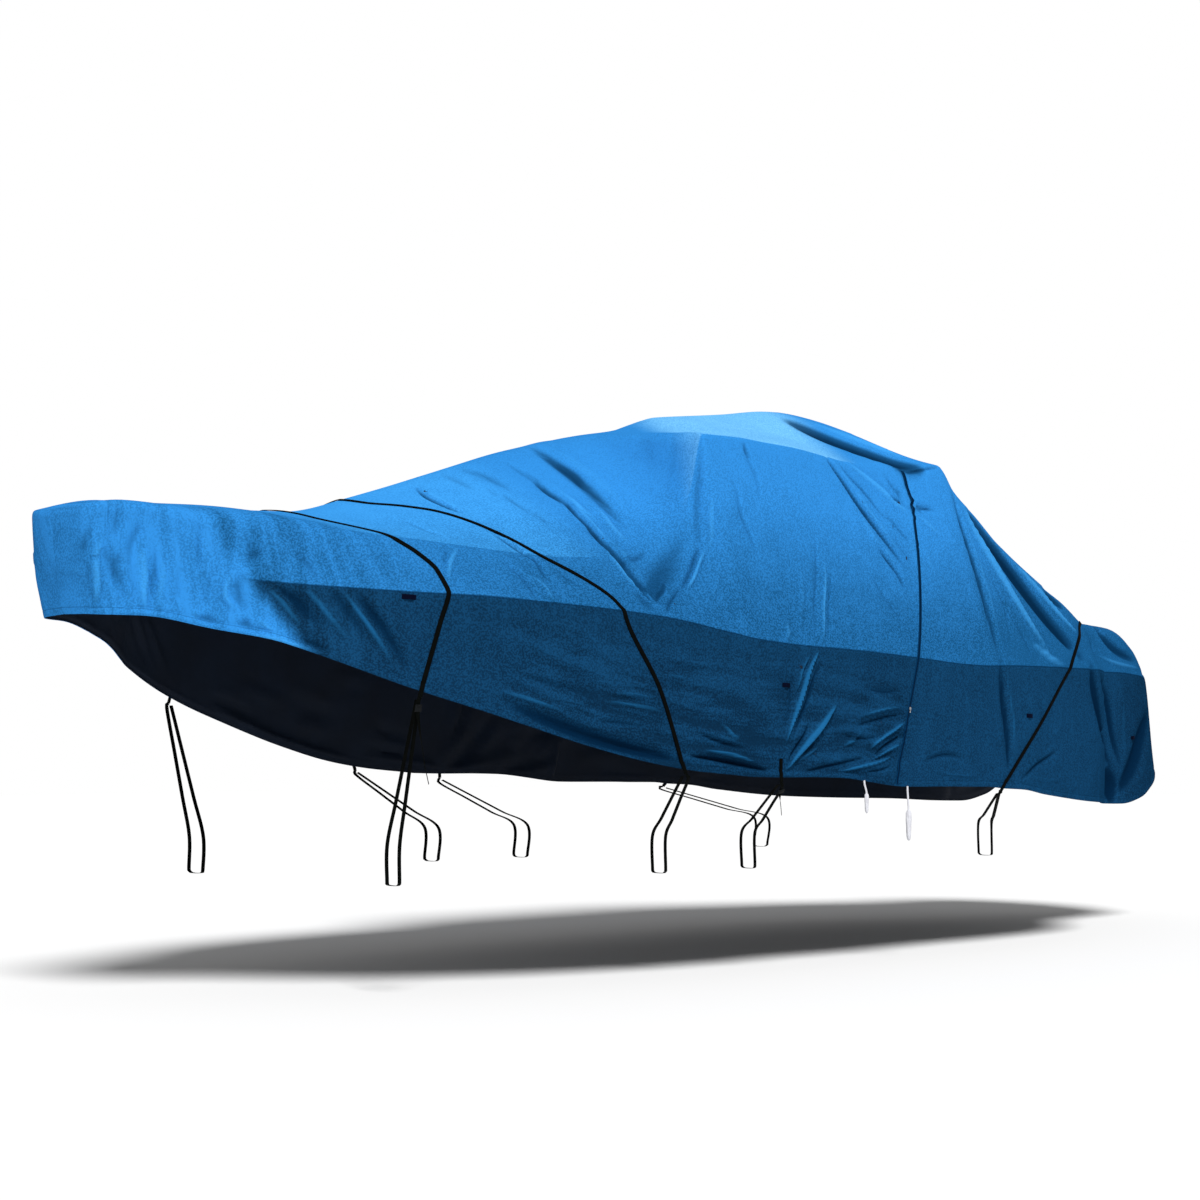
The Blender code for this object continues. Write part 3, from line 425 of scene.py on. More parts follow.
def walk(points):
    """How far along its line each point is; the lines run down the last axis but one."""
    gaps = np.linalg.norm(np.diff(points, axis=-2), axis=-1)
    return np.concatenate((np.zeros_like(gaps[..., :1]), np.cumsum(gaps, axis=-1)), axis=-1)


def bent(first, control, last, t):
    """Points on the curve from first to last that the control point bends."""
    return (1 - t) ** 2 * first + 2 * t * (1 - t) * control + t**2 * last


def paired(stations, places):
    """A station and a place across for every point."""
    return np.broadcast_arrays(np.asarray(stations, float), np.asarray(places, float))


def panelled_cover(stations, places):
    """Points of the cover with flat panels. A negative place across is on the port side."""
    across = np.clip(np.abs(places), 0, 3)
    panel = np.minimum(across.astype(int), 2)
    part = across - panel

    def either_side(values):
        """The values on the two lines that bound each point's panel."""
        return [np.take_along_axis(values, panel[None] + line, 0)[0] for line in (0, 1)]

    near, far = either_side(np.stack([straight_column(SLANTS, c, stations) for c in range(1, 5)]))
    bow = straight_column(SLANTS, 5, stations) * 4 * part * (1 - part) * (panel == 1)
    along = stations + near + (far - near) * part + bow
    zero = np.zeros_like(along)
    widths = np.stack([zero] + [table_column(SECTIONS, c, along) for c in (2, 4, 6)])
    heights = np.stack([table_column(SECTIONS, c, along) for c in (1, 3, 5, 7)])
    ease = np.where(panel == 0, part**RIDGE_EASE, part)
    near, far = either_side(widths)
    width = near * (1 - part) + far * part
    near, far = either_side(heights)
    height = near * (1 - ease) + far * ease
    near_bow = np.clip(1 - along / BOW_LEAN_END, 0, 1)
    lean = BOW_LEAN * near_bow * (np.clip(across - 1, 0, 2) / 2) ** 2
    along = np.clip(along, SECTIONS[0][0], SECTIONS[-1][0]) + lean
    return np.stack((along - MOUNT_STATION, np.sign(places) * width, height - MOUNT_HEIGHT), -1)


def taut_cover(stations, places):
    """Points of the cover without folds, rounded over the roof edge and the side line."""
    stations, places = paired(stations, places)
    points = panelled_cover(stations, places)
    across = np.abs(places)
    side = np.where(places < 0, -1.0, 1.0)
    for edge in (1, 2):
        reach = straight_column(ROUNDINGS, edge, stations)
        t = (across - edge + reach) / (2 * reach)
        near = (t > 0) & (t < 1)
        if not near.any():
            continue
        s, r, t, way = stations[near], reach[near], t[near][:, None], side[near]
        before = panelled_cover(s, way * (edge - r))
        corner = panelled_cover(s, way * np.full_like(r, edge))
        after = panelled_cover(s, way * (edge + r))
        points[near] = bent(before, corner, after, t)
    return points


def outward(stations, places):
    """Unit normals of the taut cover; the two end lines face along the cover."""
    stations, places = paired(stations, places)
    first, last = SECTIONS[0][0], SECTIONS[-1][0]
    inside = np.clip(stations, first + NORMAL_STEP, last - NORMAL_STEP)
    along = taut_cover(inside + NORMAL_STEP, places) - taut_cover(inside - NORMAL_STEP, places)
    middle = np.clip(places, NORMAL_STEP - 3, 3 - NORMAL_STEP)
    across = taut_cover(inside, middle + NORMAL_STEP) - taut_cover(inside, middle - NORMAL_STEP)
    normals = unit(np.cross(along, across))
    normals[stations <= first] = (-1, 0, 0)
    normals[stations >= last] = (1, 0, 0)
    return normals


def quads_between(index):
    """Faces between neighbouring rows and columns of a grid of vertex numbers."""
    return np.stack((index[:-1, :-1], index[1:, :-1], index[1:, 1:], index[:-1, 1:]), -1).reshape(-1, 4)


def fold_lines():
    """Each fold on both sides as points on the taut cover, with its half-width, height and lip."""
    stations = np.linspace(SECTIONS[0][0], SECTIONS[-1][0], AIM_LINES[0])[:, None]
    places = np.linspace(-3, 3, AIM_LINES[1])[None, :]
    points = taut_cover(stations, places)
    grid = quads_between(np.arange(points.shape[0] * points.shape[1]).reshape(points.shape[:2]))
    tree = BVHTree.FromPolygons(points.reshape(-1, 3).tolist(), grid.tolist())
    turn = camera.rotation_euler.to_matrix()
    far = lens.lens / lens.sensor_width * PHOTO_SIZE
    folds = []
    t = np.linspace(0, 1, FOLD_POINTS)
    for number, row in enumerate(FOLDS):
        x0, y0, x1, y1, x2, y2, width, height, lip = row
        x_mid, y_mid = 2 * x1 - (x0 + x2) / 2, 2 * y1 - (y0 + y2) / 2
        xs = bent(x0, x_mid, x2, t) + FOLD_WAVER * np.sin(WAVER_TURN * t + number)
        ys = bent(y0, y_mid, y2, t)
        line = []
        for x, y in zip(xs, ys):
            look = turn @ Vector((x - PHOTO_SIZE / 2, PHOTO_SIZE / 2 - y, -far))
            place = tree.ray_cast(camera.location, look)[0]
            if place is not None and place.y < FAR_SIDE:
                line.append(place[:])
        if len(line) < 3:
            continue
        line = np.array(line)
        shift = MIRROR_SHIFT if number % 2 else -MIRROR_SHIFT
        folds.append((line, width, height, lip))
        folds.append((line * (1, -1, 1) + (shift, 0, 0), max(width, FAR_WIDTH), height, -lip))
    return folds


def fold_rise(points, normals):
    """How far the folds lift or sink the cloth at each point."""
    flat, facing = points.reshape(-1, 3), normals.reshape(-1, 3)
    rise = np.zeros(len(flat))
    for line, width, height, lip in folds_of_cover:
        reach = FOLD_REACH * width
        low, high = line.min(0) - reach, line.max(0) + reach
        near = np.flatnonzero(((flat > low) & (flat < high)).all(1))
        if not len(near):
            continue
        here = flat[near]
        starts, runs = line[:-1], np.diff(line, axis=0)
        t = ((here[:, None] - starts) * runs).sum(-1) / (runs**2).sum(-1)
        t = np.clip(t, 0, 1)
        offsets = here[:, None] - starts - t[..., None] * runs
        gaps = np.linalg.norm(offsets, axis=-1)
        nearest = gaps.argmin(1)
        rows = np.arange(len(near))
        gap, offset, run = gaps[rows, nearest], offsets[rows, nearest], runs[nearest]
        side = np.sign((np.cross(run, offset) * facing[near]).sum(-1))
        place = (nearest + t[rows, nearest]) / len(runs)
        strength = (4 * place * (1 - place)) ** FOLD_TAPER
        wide = width * (FOLD_NARROWED + (1 - FOLD_NARROWED) * strength)
        profile = np.exp(-((gap / wide) ** 2))
        beside = np.exp(-(((gap * side * np.sign(lip) - LIP_PLACE * wide) / wide) ** 2))
        rise[near] += height * strength * (profile - abs(lip) * beside)
    for i in np.flatnonzero(np.abs(rise) > LEAST_RISE):
        gap = strap_tree.find(flat[i])[2]
        rise[i] *= 1 - math.exp(-((gap / PRESSED) ** 2))
    return rise.reshape(points.shape[:-1])


def strap_places_tree():
    """Where the straps run on the taut cover, for finding the cloth that they press flat."""
    across = np.linspace(-3, 3, STRAP_MARKS)
    found = []
    for route in STRAPS.values():
        found += taut_cover(table_column(route, 1, np.abs(across)), across).tolist()
    tree = KDTree(len(found))
    for i, point in enumerate(found):
        tree.insert(point, i)
    tree.balance()
    return tree


folds_of_cover = fold_lines()
strap_tree = strap_places_tree()


def beside_fold(points):
    """Whether each point lies close beside a narrow fold."""
    flat = points.reshape(-1, 3)
    close = np.zeros(len(flat), bool)
    for line, width, _, _ in folds_of_cover:
        if width > FINE_WIDTH:
            continue
        reach = FINE_REACH * width + FINE_MARGIN
        near = np.flatnonzero(((flat > line.min(0) - reach) & (flat < line.max(0) + reach)).all(1))
        if not len(near):
            continue
        marks = np.concatenate((line, (line[1:] + line[:-1]) / 2))
        gaps = np.linalg.norm(flat[near][:, None] - marks, axis=-1).min(1)
        close[near[gaps < reach]] = True
    return close.reshape(points.shape[:-1])


def cover(stations, places):
    """Points of the cloth with its folds, swells and hem tube, its normals and its folds' rise."""
    stations, places = paired(stations, places)
    taut = taut_cover(stations, places)
    normals = outward(stations, places)
    folded = fold_rise(taut, normals)
    from_end = np.minimum(stations - SECTIONS[0][0], SECTIONS[-1][0] - stations)
    ends = np.clip(from_end / END_MARGIN, 0, 1)
    swell = np.zeros_like(folded)
    for along, across, phase, height in SWELLS:
        wave = np.sin(2 * np.pi * (along * stations + across * places) / 2 + phase)
        swell = swell + ends * height * wave
    way = np.where(places < 0, -1.0, 1.0)
    hem, side_line = taut_cover(stations, way * 3), taut_cover(stations, way * 2)
    drop = np.linalg.norm(hem - side_line, axis=-1)
    over_hem = (3 - np.abs(places)) * drop
    tube = np.exp(-(((over_hem - HEM_TUBE) / HEM_TUBE) ** 2))
    groove = np.exp(-(((over_hem - 3 * HEM_TUBE) / (HEM_TUBE / 2)) ** 2))
    rise = folded + swell + ends * HEM_RISE * (tube - HEM_GROOVE * groove)
    return taut + normals * rise[..., None], normals, folded


def select_only(*pieces):
    bpy.ops.object.select_all(action="DESELECT")
    for piece in pieces:
        piece.select_set(True)
    bpy.context.view_layer.objects.active = pieces[0]


def apply_modifier(piece, kind, **settings):
    """Adds a modifier to a piece with these settings and applies it."""
    select_only(piece)
    bpy.ops.object.modifier_add(type=kind)
    modifier = piece.modifiers[-1]
    for key, value in settings.items():
        setattr(modifier, key, value)
    bpy.ops.object.modifier_apply(modifier=modifier.name)


def shade_by_angle(piece, degrees):
    """Smooth shading that stays sharp over edges steeper than this."""
    select_only(piece)
    bpy.ops.object.shade_smooth_by_angle(angle=math.radians(degrees))


def grid_faces(fine):
    """Which points of the finer grid are used, and the faces: fine cells whole, the others as one face."""
    rows, columns = fine.shape
    parts = np.kron(fine, np.ones((FINER, FINER), bool))
    used = np.zeros((rows * FINER + 1, columns * FINER + 1), bool)
    used[::FINER, ::FINER] = True
    for down in (0, 1):
        for right in (0, 1):
            used[down:down + rows * FINER, right:right + columns * FINER] |= parts
    index = np.cumsum(used.ravel()).reshape(used.shape) - 1
    down, right = np.nonzero(parts)
    faces = np.stack((index[down, right], index[down + 1, right], index[down + 1, right + 1],
                      index[down, right + 1]), -1).tolist()
    steps = range(FINER)
    for i, j in np.argwhere(~fine) * FINER:
        ring = ([(i + k, j) for k in steps] + [(i + FINER, j + k) for k in steps]
                + [(i + FINER - k, j + FINER) for k in steps] + [(i, j + FINER - k) for k in steps])
        faces.append([int(index[place]) for place in ring if used[place]])
    return used, faces


def finer(values):
    """The values with the finer grid's lines added between them."""
    count = len(values) - 1
    return np.interp(np.arange(count * FINER + 1) / FINER, np.arange(count + 1), values)


def new_piece(name, points, faces, cut, finishes):
    """A piece of these points and faces, with each point's place on the flat cut as its UV map."""
    mesh = bpy.data.meshes.new(name)
    mesh.from_pydata(points.tolist(), [], faces)
    loops = np.zeros(len(mesh.loops), dtype=int)
    mesh.loops.foreach_get("vertex_index", loops)
    layer = mesh.uv_layers.new(name="cut")
    layer.data.foreach_set("uv", cut[loops].ravel())
    for finish in finishes:
        mesh.materials.append(finish)
    piece = bpy.data.objects.new(name, mesh)
    bpy.context.collection.objects.link(piece)
    return piece


def stand_for(piece, node):
    """The piece takes its node's place and rides on the cover's one body."""
    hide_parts(node)
    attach(piece, "root")


def make_cloth(name, stations, finishes):
    """One cloth as a sheet, with its distances from the cut's lines and its folds as attributes."""
    port = lines(HALF_COLUMNS)[1:]
    places = np.concatenate((-port[::-1], (0,), port))
    middle_stations, middle_places = [(values[1:] + values[:-1]) / 2 for values in (stations, places)]
    fine = beside_fold(taut_cover(middle_stations[:, None], middle_places[None, :]))
    fine[:2], fine[-2:], fine[:, len(places) // 2:] = False, False, False
    used, faces = grid_faces(fine)
    all_stations, all_places = np.broadcast_arrays(finer(stations)[:, None], finer(places)[None, :])
    girth = walk(taut_cover(all_stations, all_places))

    def above(place):
        """Distance round the cover from a line on each side towards the ridge."""
        near = int(np.argmin(np.abs(all_places[0] + place)))
        away = int(np.argmin(np.abs(all_places[0] - place)))
        on_port = np.arange(girth.shape[1]) < girth.shape[1] // 2
        return np.where(on_port, girth - girth[:, near:near + 1], girth[:, away:away + 1] - girth)

    points, _, folded = cover(all_stations[used], all_places[used])
    cut = np.stack((all_stations[used], girth[used]), -1)
    piece = new_piece(name, points, faces, cut, finishes)
    over_hem = np.minimum(girth, girth[:, -1:] - girth)
    for key, values in (("over_roof", above(1)[used]), ("over_side", above(2)[used]),
                        ("over_hem", over_hem[used]), ("fold_rise", folded)):
        attribute = piece.data.attributes.new(key, "FLOAT", "POINT")
        attribute.data.foreach_set("value", values)
    bm = bmesh.new()
    bm.from_mesh(piece.data)
    bmesh.ops.remove_doubles(bm, verts=bm.verts, dist=WELD)
    bm.to_mesh(piece.data)
    bm.free()
    apply_modifier(piece, "SOLIDIFY", thickness=CLOTH_THICKNESS, offset=-1, material_offset=1)
    shade_by_angle(piece, CLOTH_SHARP)
    return piece


class Wire:
    """An output in a material's node tree; arithmetic on it adds Math nodes."""

    def __init__(self, tree, socket=None):
        self.tree = tree
        self.socket = socket

    def node(self, kind, settings, sockets, output=0):
        """Any node: its settings first, then the values or links of its sockets."""
        made = self.tree.nodes.new(kind)
        for key, value in settings.items():
            setattr(made, key, value)
        for key, value in sockets.items():
            if isinstance(value, Wire):
                self.tree.links.new(value.socket, made.inputs[key])
            else:
                made.inputs[key].default_value = value
        return Wire(self.tree, made.outputs[output])

    def __add__(self, other):
        return maths("ADD", self, other)

    __radd__ = __add__

    def __sub__(self, other):
        return maths("SUBTRACT", self, other)

    def __rsub__(self, other):
        return maths("SUBTRACT", other, self)

    def __mul__(self, other):
        return maths("MULTIPLY", self, other)

    __rmul__ = __mul__


def maths(operation, *values):
    """A Math node on values, at least one of which is a wire."""
    wire = next(value for value in values if isinstance(value, Wire))
    return wire.node("ShaderNodeMath", {"operation": operation}, dict(enumerate(values)))


def noise(places, scale, detail=2.0):
    sockets = {"Vector": places, "Scale": scale, "Detail": detail}
    return places.node("ShaderNodeTexNoise", {}, sockets)


def mix(factor, first, second):
    """A colour between two colours."""
    return factor.node("ShaderNodeMix", {"data_type": "RGBA"}, {0: factor, 6: first, 7: second}, 2)


def step(value, low, high):
    """0 at low, 1 at high, smooth between and level beyond them."""
    sockets = {"Value": value, "From Min": low, "From Max": high}
    return value.node("ShaderNodeMapRange", {"interpolation_type": "SMOOTHSTEP"}, sockets)


def new_finish(name, roughness=0.5, specular=0.5, metallic=0.0):
    """A material, a wire to start from in its tree, and its shader."""
    material = bpy.data.materials.new(name)
    material.use_nodes = True
    shader = material.node_tree.nodes["Principled BSDF"]
    shader.inputs["Roughness"].default_value = roughness
    shader.inputs["Specular IOR Level"].default_value = specular
    shader.inputs["Metallic"].default_value = metallic
    return material, Wire(material.node_tree), shader


def connect(value, shader, socket):
    value.tree.links.new(value.socket, shader.inputs[socket])


def add_bump(height, shader, strength, distance):
    sockets = {"Strength": strength, "Distance": distance, "Height": height}
    connect(height.node("ShaderNodeBump", {}, sockets), shader, "Normal")


def object_places(wire):
    return wire.node("ShaderNodeTexCoord", {}, {}, "Object")


def cut_places(wire):
    """How far along and across its flat cut each point of a piece lies, in metres."""
    cut = wire.node("ShaderNodeUVMap", {"uv_map": "cut"}, {})
    return [wire.node("ShaderNodeSeparateXYZ", {}, {"Vector": cut}, axis) for axis in "XY"]


# Coated cloth: a fine plain weave under a thin satin coating, mottled and crinkled. Its colours carry
# painted light and shade: painted shade makes the skirt darker, painted light the roof and deck paler,
# and folds get painted highlights on their crests and painted shade in their troughs
CLOTH_BLUE = (0.027, 0.225, 0.600, 1)
CLOTH_DEEP = (0.007, 0.072, 0.186, 1)
SKIRT_SHADE_BLUE = (0.006, 0.052, 0.133, 1)
SKIRT_SHADE_DEEP = (0.003, 0.020, 0.050, 1)
SEAM_DARK_AND_TROUGH_SHADE = (0.001, 0.012, 0.036, 1)
TROUGH_SHADE = (0.003, 0.034, 0.095, 1)
ROOF_PAINTED_LIGHT = (0.200, 0.560, 0.900, 1)
CREST_AND_DECK_HIGHLIGHT = (0.060, 0.380, 0.860, 1)
SKIRT_CREST_HIGHLIGHT = (0.012, 0.130, 0.320, 1)
INSIDE_DARK = (0.002, 0.005, 0.012, 1)
CLOTH_COAT = (0.004, 0.012, 0.030, 1)
WEAVE_PITCH = 0.0016

# Scales of the cloth's unevenness. Streaks: part along, part across, scale
BROAD_SCALE = 1.3
PATCH_SCALE = 7.0
CRINKLE_SCALE = 34.0
GRAIN_SCALE = 120.0
INSIDE_SCALE = 5.0
UPRIGHT_STREAKS = (1.0, 0.14, 17.0)
LEVEL_STREAKS = (0.16, 1.0, 15.0)

# Where the cloth's tone and its painted light and shade change along the cover, from one station to another
BOW_PALE_END = (0.70, 0.80)
BOW_LIGHT_RISE = (0.12, 0.32)
BOW_CRINKLED_END = (0.8, 1.5)
FORE_LIGHT_END = (1.4, 2.2)
AFT_SHADE = (4.7, 5.7)
ROOF_START = (3.05, 3.30)
ROOF_END = (4.12, 4.34)
DECK_START = (1.0, 1.3)
DECK_END = (2.2, 2.6)
SKIRT_CRINKLED_START = (1.5, 2.2)
SKIRT_PAST_ZIP = (4.5, 4.7)
HEM_SHADE_START = (1.8, 2.4)
HEM_SHADE_END = (3.3, 4.0)
STERN_SHADE = (7.2, 7.9)

# Where it changes round the cover, in metres over the roof edge, over the side line or over the hem
ROOF_EDGE = (-0.002, 0.012)
DECK_EDGE = (-0.004, 0.006)
SIDE_EDGE = (0.004, -0.004)
SIDE_LIGHT_RISE = (0, 1.1)
SEAM_EDGE = (0.002, 0.006)
SKIRT_CRINKLED = (0.25, 0.75)
HEM_SHADE = (0.10, 0.50)
STITCH_HEIGHT = 0.030
STITCH_EDGE = (0.001, 0.003)

# How far a fold has to rise or sink the cloth for the painted highlight on its crest and the painted shade in
# its trough and its deepest part to show
CREST = (0.002, 0.016)
TROUGH = (-0.001, -0.018)
DEEP_TROUGH = (-0.014, -0.036)

cloth_finish, wire, shader = new_finish("coated_cloth_blue", specular=0.0)
station, girth = cut_places(wire)
over_roof, over_side, over_hem, fold = [
    wire.node("ShaderNodeAttribute", {"attribute_name": name}, {}, "Fac")
    for name in ("over_roof", "over_side", "over_hem", "fold_rise")]


def streaks(along, across, scale):
    """Crinkles drawn out along the cloth or round it."""
    drawn_out = station.node("ShaderNodeCombineXYZ", {}, {"X": station * along, "Y": girth * across})
    return step(noise(drawn_out, scale, 3.0), 0.34, 0.66)


places = object_places(wire)
patchy = noise(places, PATCH_SCALE, 3.0)
crinkle = noise(places, CRINKLE_SCALE, 3.0)
upright = streaks(*UPRIGHT_STREAKS)
level = streaks(*LEVEL_STREAKS)
mottle = step(noise(places, BROAD_SCALE), 0.3, 0.7) * 0.10 + step(patchy, 0.35, 0.65) * 0.15
mottle = mottle + step(noise(places, GRAIN_SCALE, 1.0), 0.40, 0.60) * 0.75

# Crinkles upright at the bow end and level low on the skirt, ahead of the zip. They bump the cloth and also
# darken its colour in their troughs as painted shade
on_bow = 1 - step(station, *BOW_CRINKLED_END)
low_skirt = (1 - step(over_hem, *SKIRT_CRINKLED)) * step(station, *SKIRT_CRINKLED_START)
low_skirt = low_skirt * (1 - step(station, *SKIRT_PAST_ZIP))
wrinkled = on_bow * (upright - 0.5) * 1.3 + low_skirt * (level - 0.5) * 1.3 + (upright - 0.5) * 0.15

# Above the side line, painted light and shade: paler upwards, on the bow end, on the roof and on the deck
# ahead of it, and darker on the aft slope
aft_of_bow = step(station + over_side * 0.6, *BOW_PALE_END)
painted_slope_shading = step(over_side, *SIDE_LIGHT_RISE) * 0.8 - 0.07 - step(station, *AFT_SHADE) * 0.22
painted_slope_shading = painted_slope_shading + (1 - step(station, *FORE_LIGHT_END)) * 0.20
bow_painted_light = (1 - aft_of_bow) * (step(station, *BOW_LIGHT_RISE) * 0.06 + 0.54)
tone = mottle * 0.5 + painted_slope_shading * aft_of_bow + bow_painted_light + wrinkled * 0.3
upper = mix(tone, CLOTH_DEEP, CLOTH_BLUE)
# Painted light on the roof: paler, as lit from above
roof_start = step(station - over_roof * 0.6, *ROOF_START)
roof_end = 1 - step(station - over_roof * 0.4, *ROOF_END)
on_roof = step(over_roof, *ROOF_EDGE) * roof_start * roof_end
upper = mix(on_roof * (mottle * 0.4 + 0.4), upper, ROOF_PAINTED_LIGHT)
# Painted light on the deck ahead of the roof, in the colour of the crest highlights
on_deck = step(over_roof, *DECK_EDGE) * step(station, *DECK_START) * (1 - step(station, *DECK_END))
upper = mix(on_deck * (mottle * 0.3 + 0.16), upper, CREST_AND_DECK_HIGHLIGHT)

# Below it, painted shade: the skirt's colours are darker, and darker still near the hem of the middle and
# towards the stern end
below = step(over_side, *SIDE_EDGE) * aft_of_bow
near_hem = (1 - step(over_hem, *HEM_SHADE)) * step(station, *HEM_SHADE_START)
near_hem = near_hem * (1 - step(station, *HEM_SHADE_END))
skirt_tone = mottle * 0.8 + wrinkled * 0.5 + 0.1 - near_hem * 0.30 + step(station, *SKIRT_PAST_ZIP) * 0.15
lower = mix(skirt_tone - step(station, *STERN_SHADE) * 0.45, SKIRT_SHADE_DEEP, SKIRT_SHADE_BLUE)
colour = mix(below, upper, lower)

# Folds: painted highlights on their crests and painted shade in their troughs. Then the dark seam on the
# side line and the stitching over the hem
crest = step(fold, *CREST) * (below * 0.25 + 0.40)
colour = mix(crest, colour, mix(below, CREST_AND_DECK_HIGHLIGHT, SKIRT_CREST_HIGHLIGHT))
colour = mix(step(fold, *TROUGH) * 0.85, colour, mix(below, TROUGH_SHADE, SEAM_DARK_AND_TROUGH_SHADE))
colour = mix(step(fold, *DEEP_TROUGH) * 0.80, colour, SEAM_DARK_AND_TROUGH_SHADE)
side_seam = (1 - step(maths("ABSOLUTE", over_side), *SEAM_EDGE)) * aft_of_bow
hem_stitch = 0.5 - 0.5 * step(maths("ABSOLUTE", over_hem - STITCH_HEIGHT), *STITCH_EDGE)
seams = maths("MAXIMUM", side_seam, hem_stitch)
connect(mix(seams * 0.6, colour, SEAM_DARK_AND_TROUGH_SHADE), shader, "Base Color")
connect(0.46 + crinkle * 0.14, shader, "Roughness")
turns = 2 * math.pi / WEAVE_PITCH
threads = maths("SINE", station * turns) * maths("SINE", girth * turns)
height = crinkle * 0.5 + threads * 0.04 - seams * 0.5 + patchy * 0.6 + wrinkled * 1.6
add_bump(height, shader, 0.7, 0.005)

# The inside of the coated cloth, with its dark coat
inside_finish, wire, shader = new_finish("coating_inside", roughness=0.7, specular=0.2)
patchy = noise(object_places(wire), INSIDE_SCALE, 3.0)
connect(mix(patchy, INSIDE_DARK, CLOTH_COAT), shader, "Base Color")

# node, spans of its mesh lines, flat size, area
CLOTHS = (
    ("cover_front", FRONT_ROWS, (5.7, 4.9), 19.6),
    ("cover_aft", AFT_ROWS, (5.8, 4.3), 16.6),
)

cloths = []
for node_name, spans, flat_size, flat_area in CLOTHS:
    piece = make_cloth(f"{node_name}_cloth", lines(spans), (cloth_finish, inside_finish))
    stand_for(piece, node_name)
    cloths.append(piece)


def tree_of(pieces):
    """The faces of several pieces, for finding the cloth under a strip."""
    points, polygons = [], []
    for piece in pieces:
        start = len(points)
        points += [tuple(vertex.co) for vertex in piece.data.vertices]
        polygons += [[start + i for i in polygon.vertices] for polygon in piece.data.polygons]
    return BVHTree.FromPolygons(points, polygons)


cloth_tree = tree_of(cloths)

# ---------------------------------------------------------------------------------------------------
# Zip down the port side: a dark coil between two woven tapes, sewn over the line where the cloths
# meet, with a metal slider and its pull 0.4 m above the hem.
# ---------------------------------------------------------------------------------------------------
ZIP_PLACES = (1.03, 2.985)
ZIP_STEPS = 220
TAPE_WIDTH = 0.011
TAPE_THICKNESS = 0.0008
TAPE_PARTED = 0.0004
TAPE_RIBS = 320.0
TOOTH_PITCH = 0.005
TOOTH_SIZE = (0.0062, 0.0022, 0.0024)
TOOTH_BEVEL = 0.0005
TOOTH_LEAN = 0.0012
COIL_MARGINS = (0.010, 0.005)
HARD_SHARP = 40
SLIDER_PLACE = 2.40
SLIDER_LIFT = 0.0042
SLIDER_BODY = (0.011, 0.0045, 0.014)
SLIDER_BEVEL = 0.0014
BRIDGE_RADII = (0.0035, 0.0008)
BRIDGE_PLACE = (0, 0.0024, 0)
PULL_EYE_RADII = (0.0046, 0.0010)
PULL_EYE_PLACE = (0, 0.0042, -0.0075)
PULL_EYE_NARROWED = 0.8
PULL_SIZE = (0.0070, 0.0016, 0.0130)
PULL_PLACE = (0, 0.0042, -0.0170)
PULL_BEVEL = 0.0007
TAPE_NAVY = ((0.001, 0.020, 0.062, 1), (0.003, 0.034, 0.100, 1))
COIL_NAVY = ((0.001, 0.012, 0.036, 1), (0.002, 0.020, 0.060, 1))
SLIDER_GREY = ((0.62, 0.62, 0.62, 1), (0.35, 0.34, 0.33, 1))

# Scuffs: scale and detail of their noise, and where in it they start and are full
COIL_SCUFFS = (220.0, 2.0, 0.5, 0.8)
SLIDER_SCUFFS = (400.0, 3.0, 0.4, 0.75)

# A strip lies this high over the cloth, which is looked for this far in and out. Its section is given
# as parts of its width and thickness.
STRIP_LIFT = 0.0008
SEAT_REACH = 0.30
STRIP_SHARP = 50
STRIP_SECTION = ((-0.5, 0), (-0.47, 0.42), (-0.40, 0.5), (0.40, 0.5), (0.47, 0.42), (0.5, 0), (0.47, -0.42),
                 (0.40, -0.5), (-0.40, -0.5), (-0.47, -0.42))


def strip_frame(centres, flats):
    """Sideways and face directions of a flat strip along the centres."""
    runs = np.gradient(centres, axis=0)
    sides = unit(np.cross(flats, runs))
    return sides, unit(np.cross(runs, sides))


def seated(centres, flats, width, lift, spread=2):
    """The centres moved along their flats until a strip there lies this high over the cloth."""
    sides, _ = strip_frame(centres, flats)
    heights = np.full(len(centres), np.nan)
    for i, (centre, side, flat) in enumerate(zip(centres, sides, flats)):
        found = []
        for part in (-0.5, -0.25, 0, 0.25, 0.5):
            start = Vector(centre + side * part * width + flat * SEAT_REACH)
            distance = cloth_tree.ray_cast(start, Vector(-flat), 2 * SEAT_REACH)[3]
            if distance is not None:
                found.append(SEAT_REACH - distance)
        if found:
            heights[i] = max(found)
    known = ~np.isnan(heights)
    rows = np.arange(len(centres))
    heights = np.interp(rows, rows[known], heights[known])
    for settle in (np.max, np.mean):
        padded = np.pad(heights, spread, mode="edge")
        heights = settle([padded[k:k + len(heights)] for k in range(2 * spread + 1)], axis=0)
    return centres + flats * (heights + lift)[:, None]


def through_rings(name, rings, cut, finish, degrees):
    """A closed piece whose skin runs through the rings of points and closes over the first and last."""
    rows, count = rings.shape[:2]
    quads = []
    for i in range(rows - 1):
        for k in range(count):
            near, far = i * count, (i + 1) * count
            quads.append((near + k, near + (k + 1) % count, far + (k + 1) % count, far + k))
    last = (rows - 1) * count
    quads.append(tuple(range(count)))
    quads.append(tuple(last + k for k in reversed(range(count))))
    piece = new_piece(name, rings.reshape(-1, 3), quads, cut, (finish,))
    bm = bmesh.new()
    bm.from_mesh(piece.data)
    bmesh.ops.recalc_face_normals(bm, faces=bm.faces)
    bm.to_mesh(piece.data)
    bm.free()
    shade_by_angle(piece, degrees)
    return piece


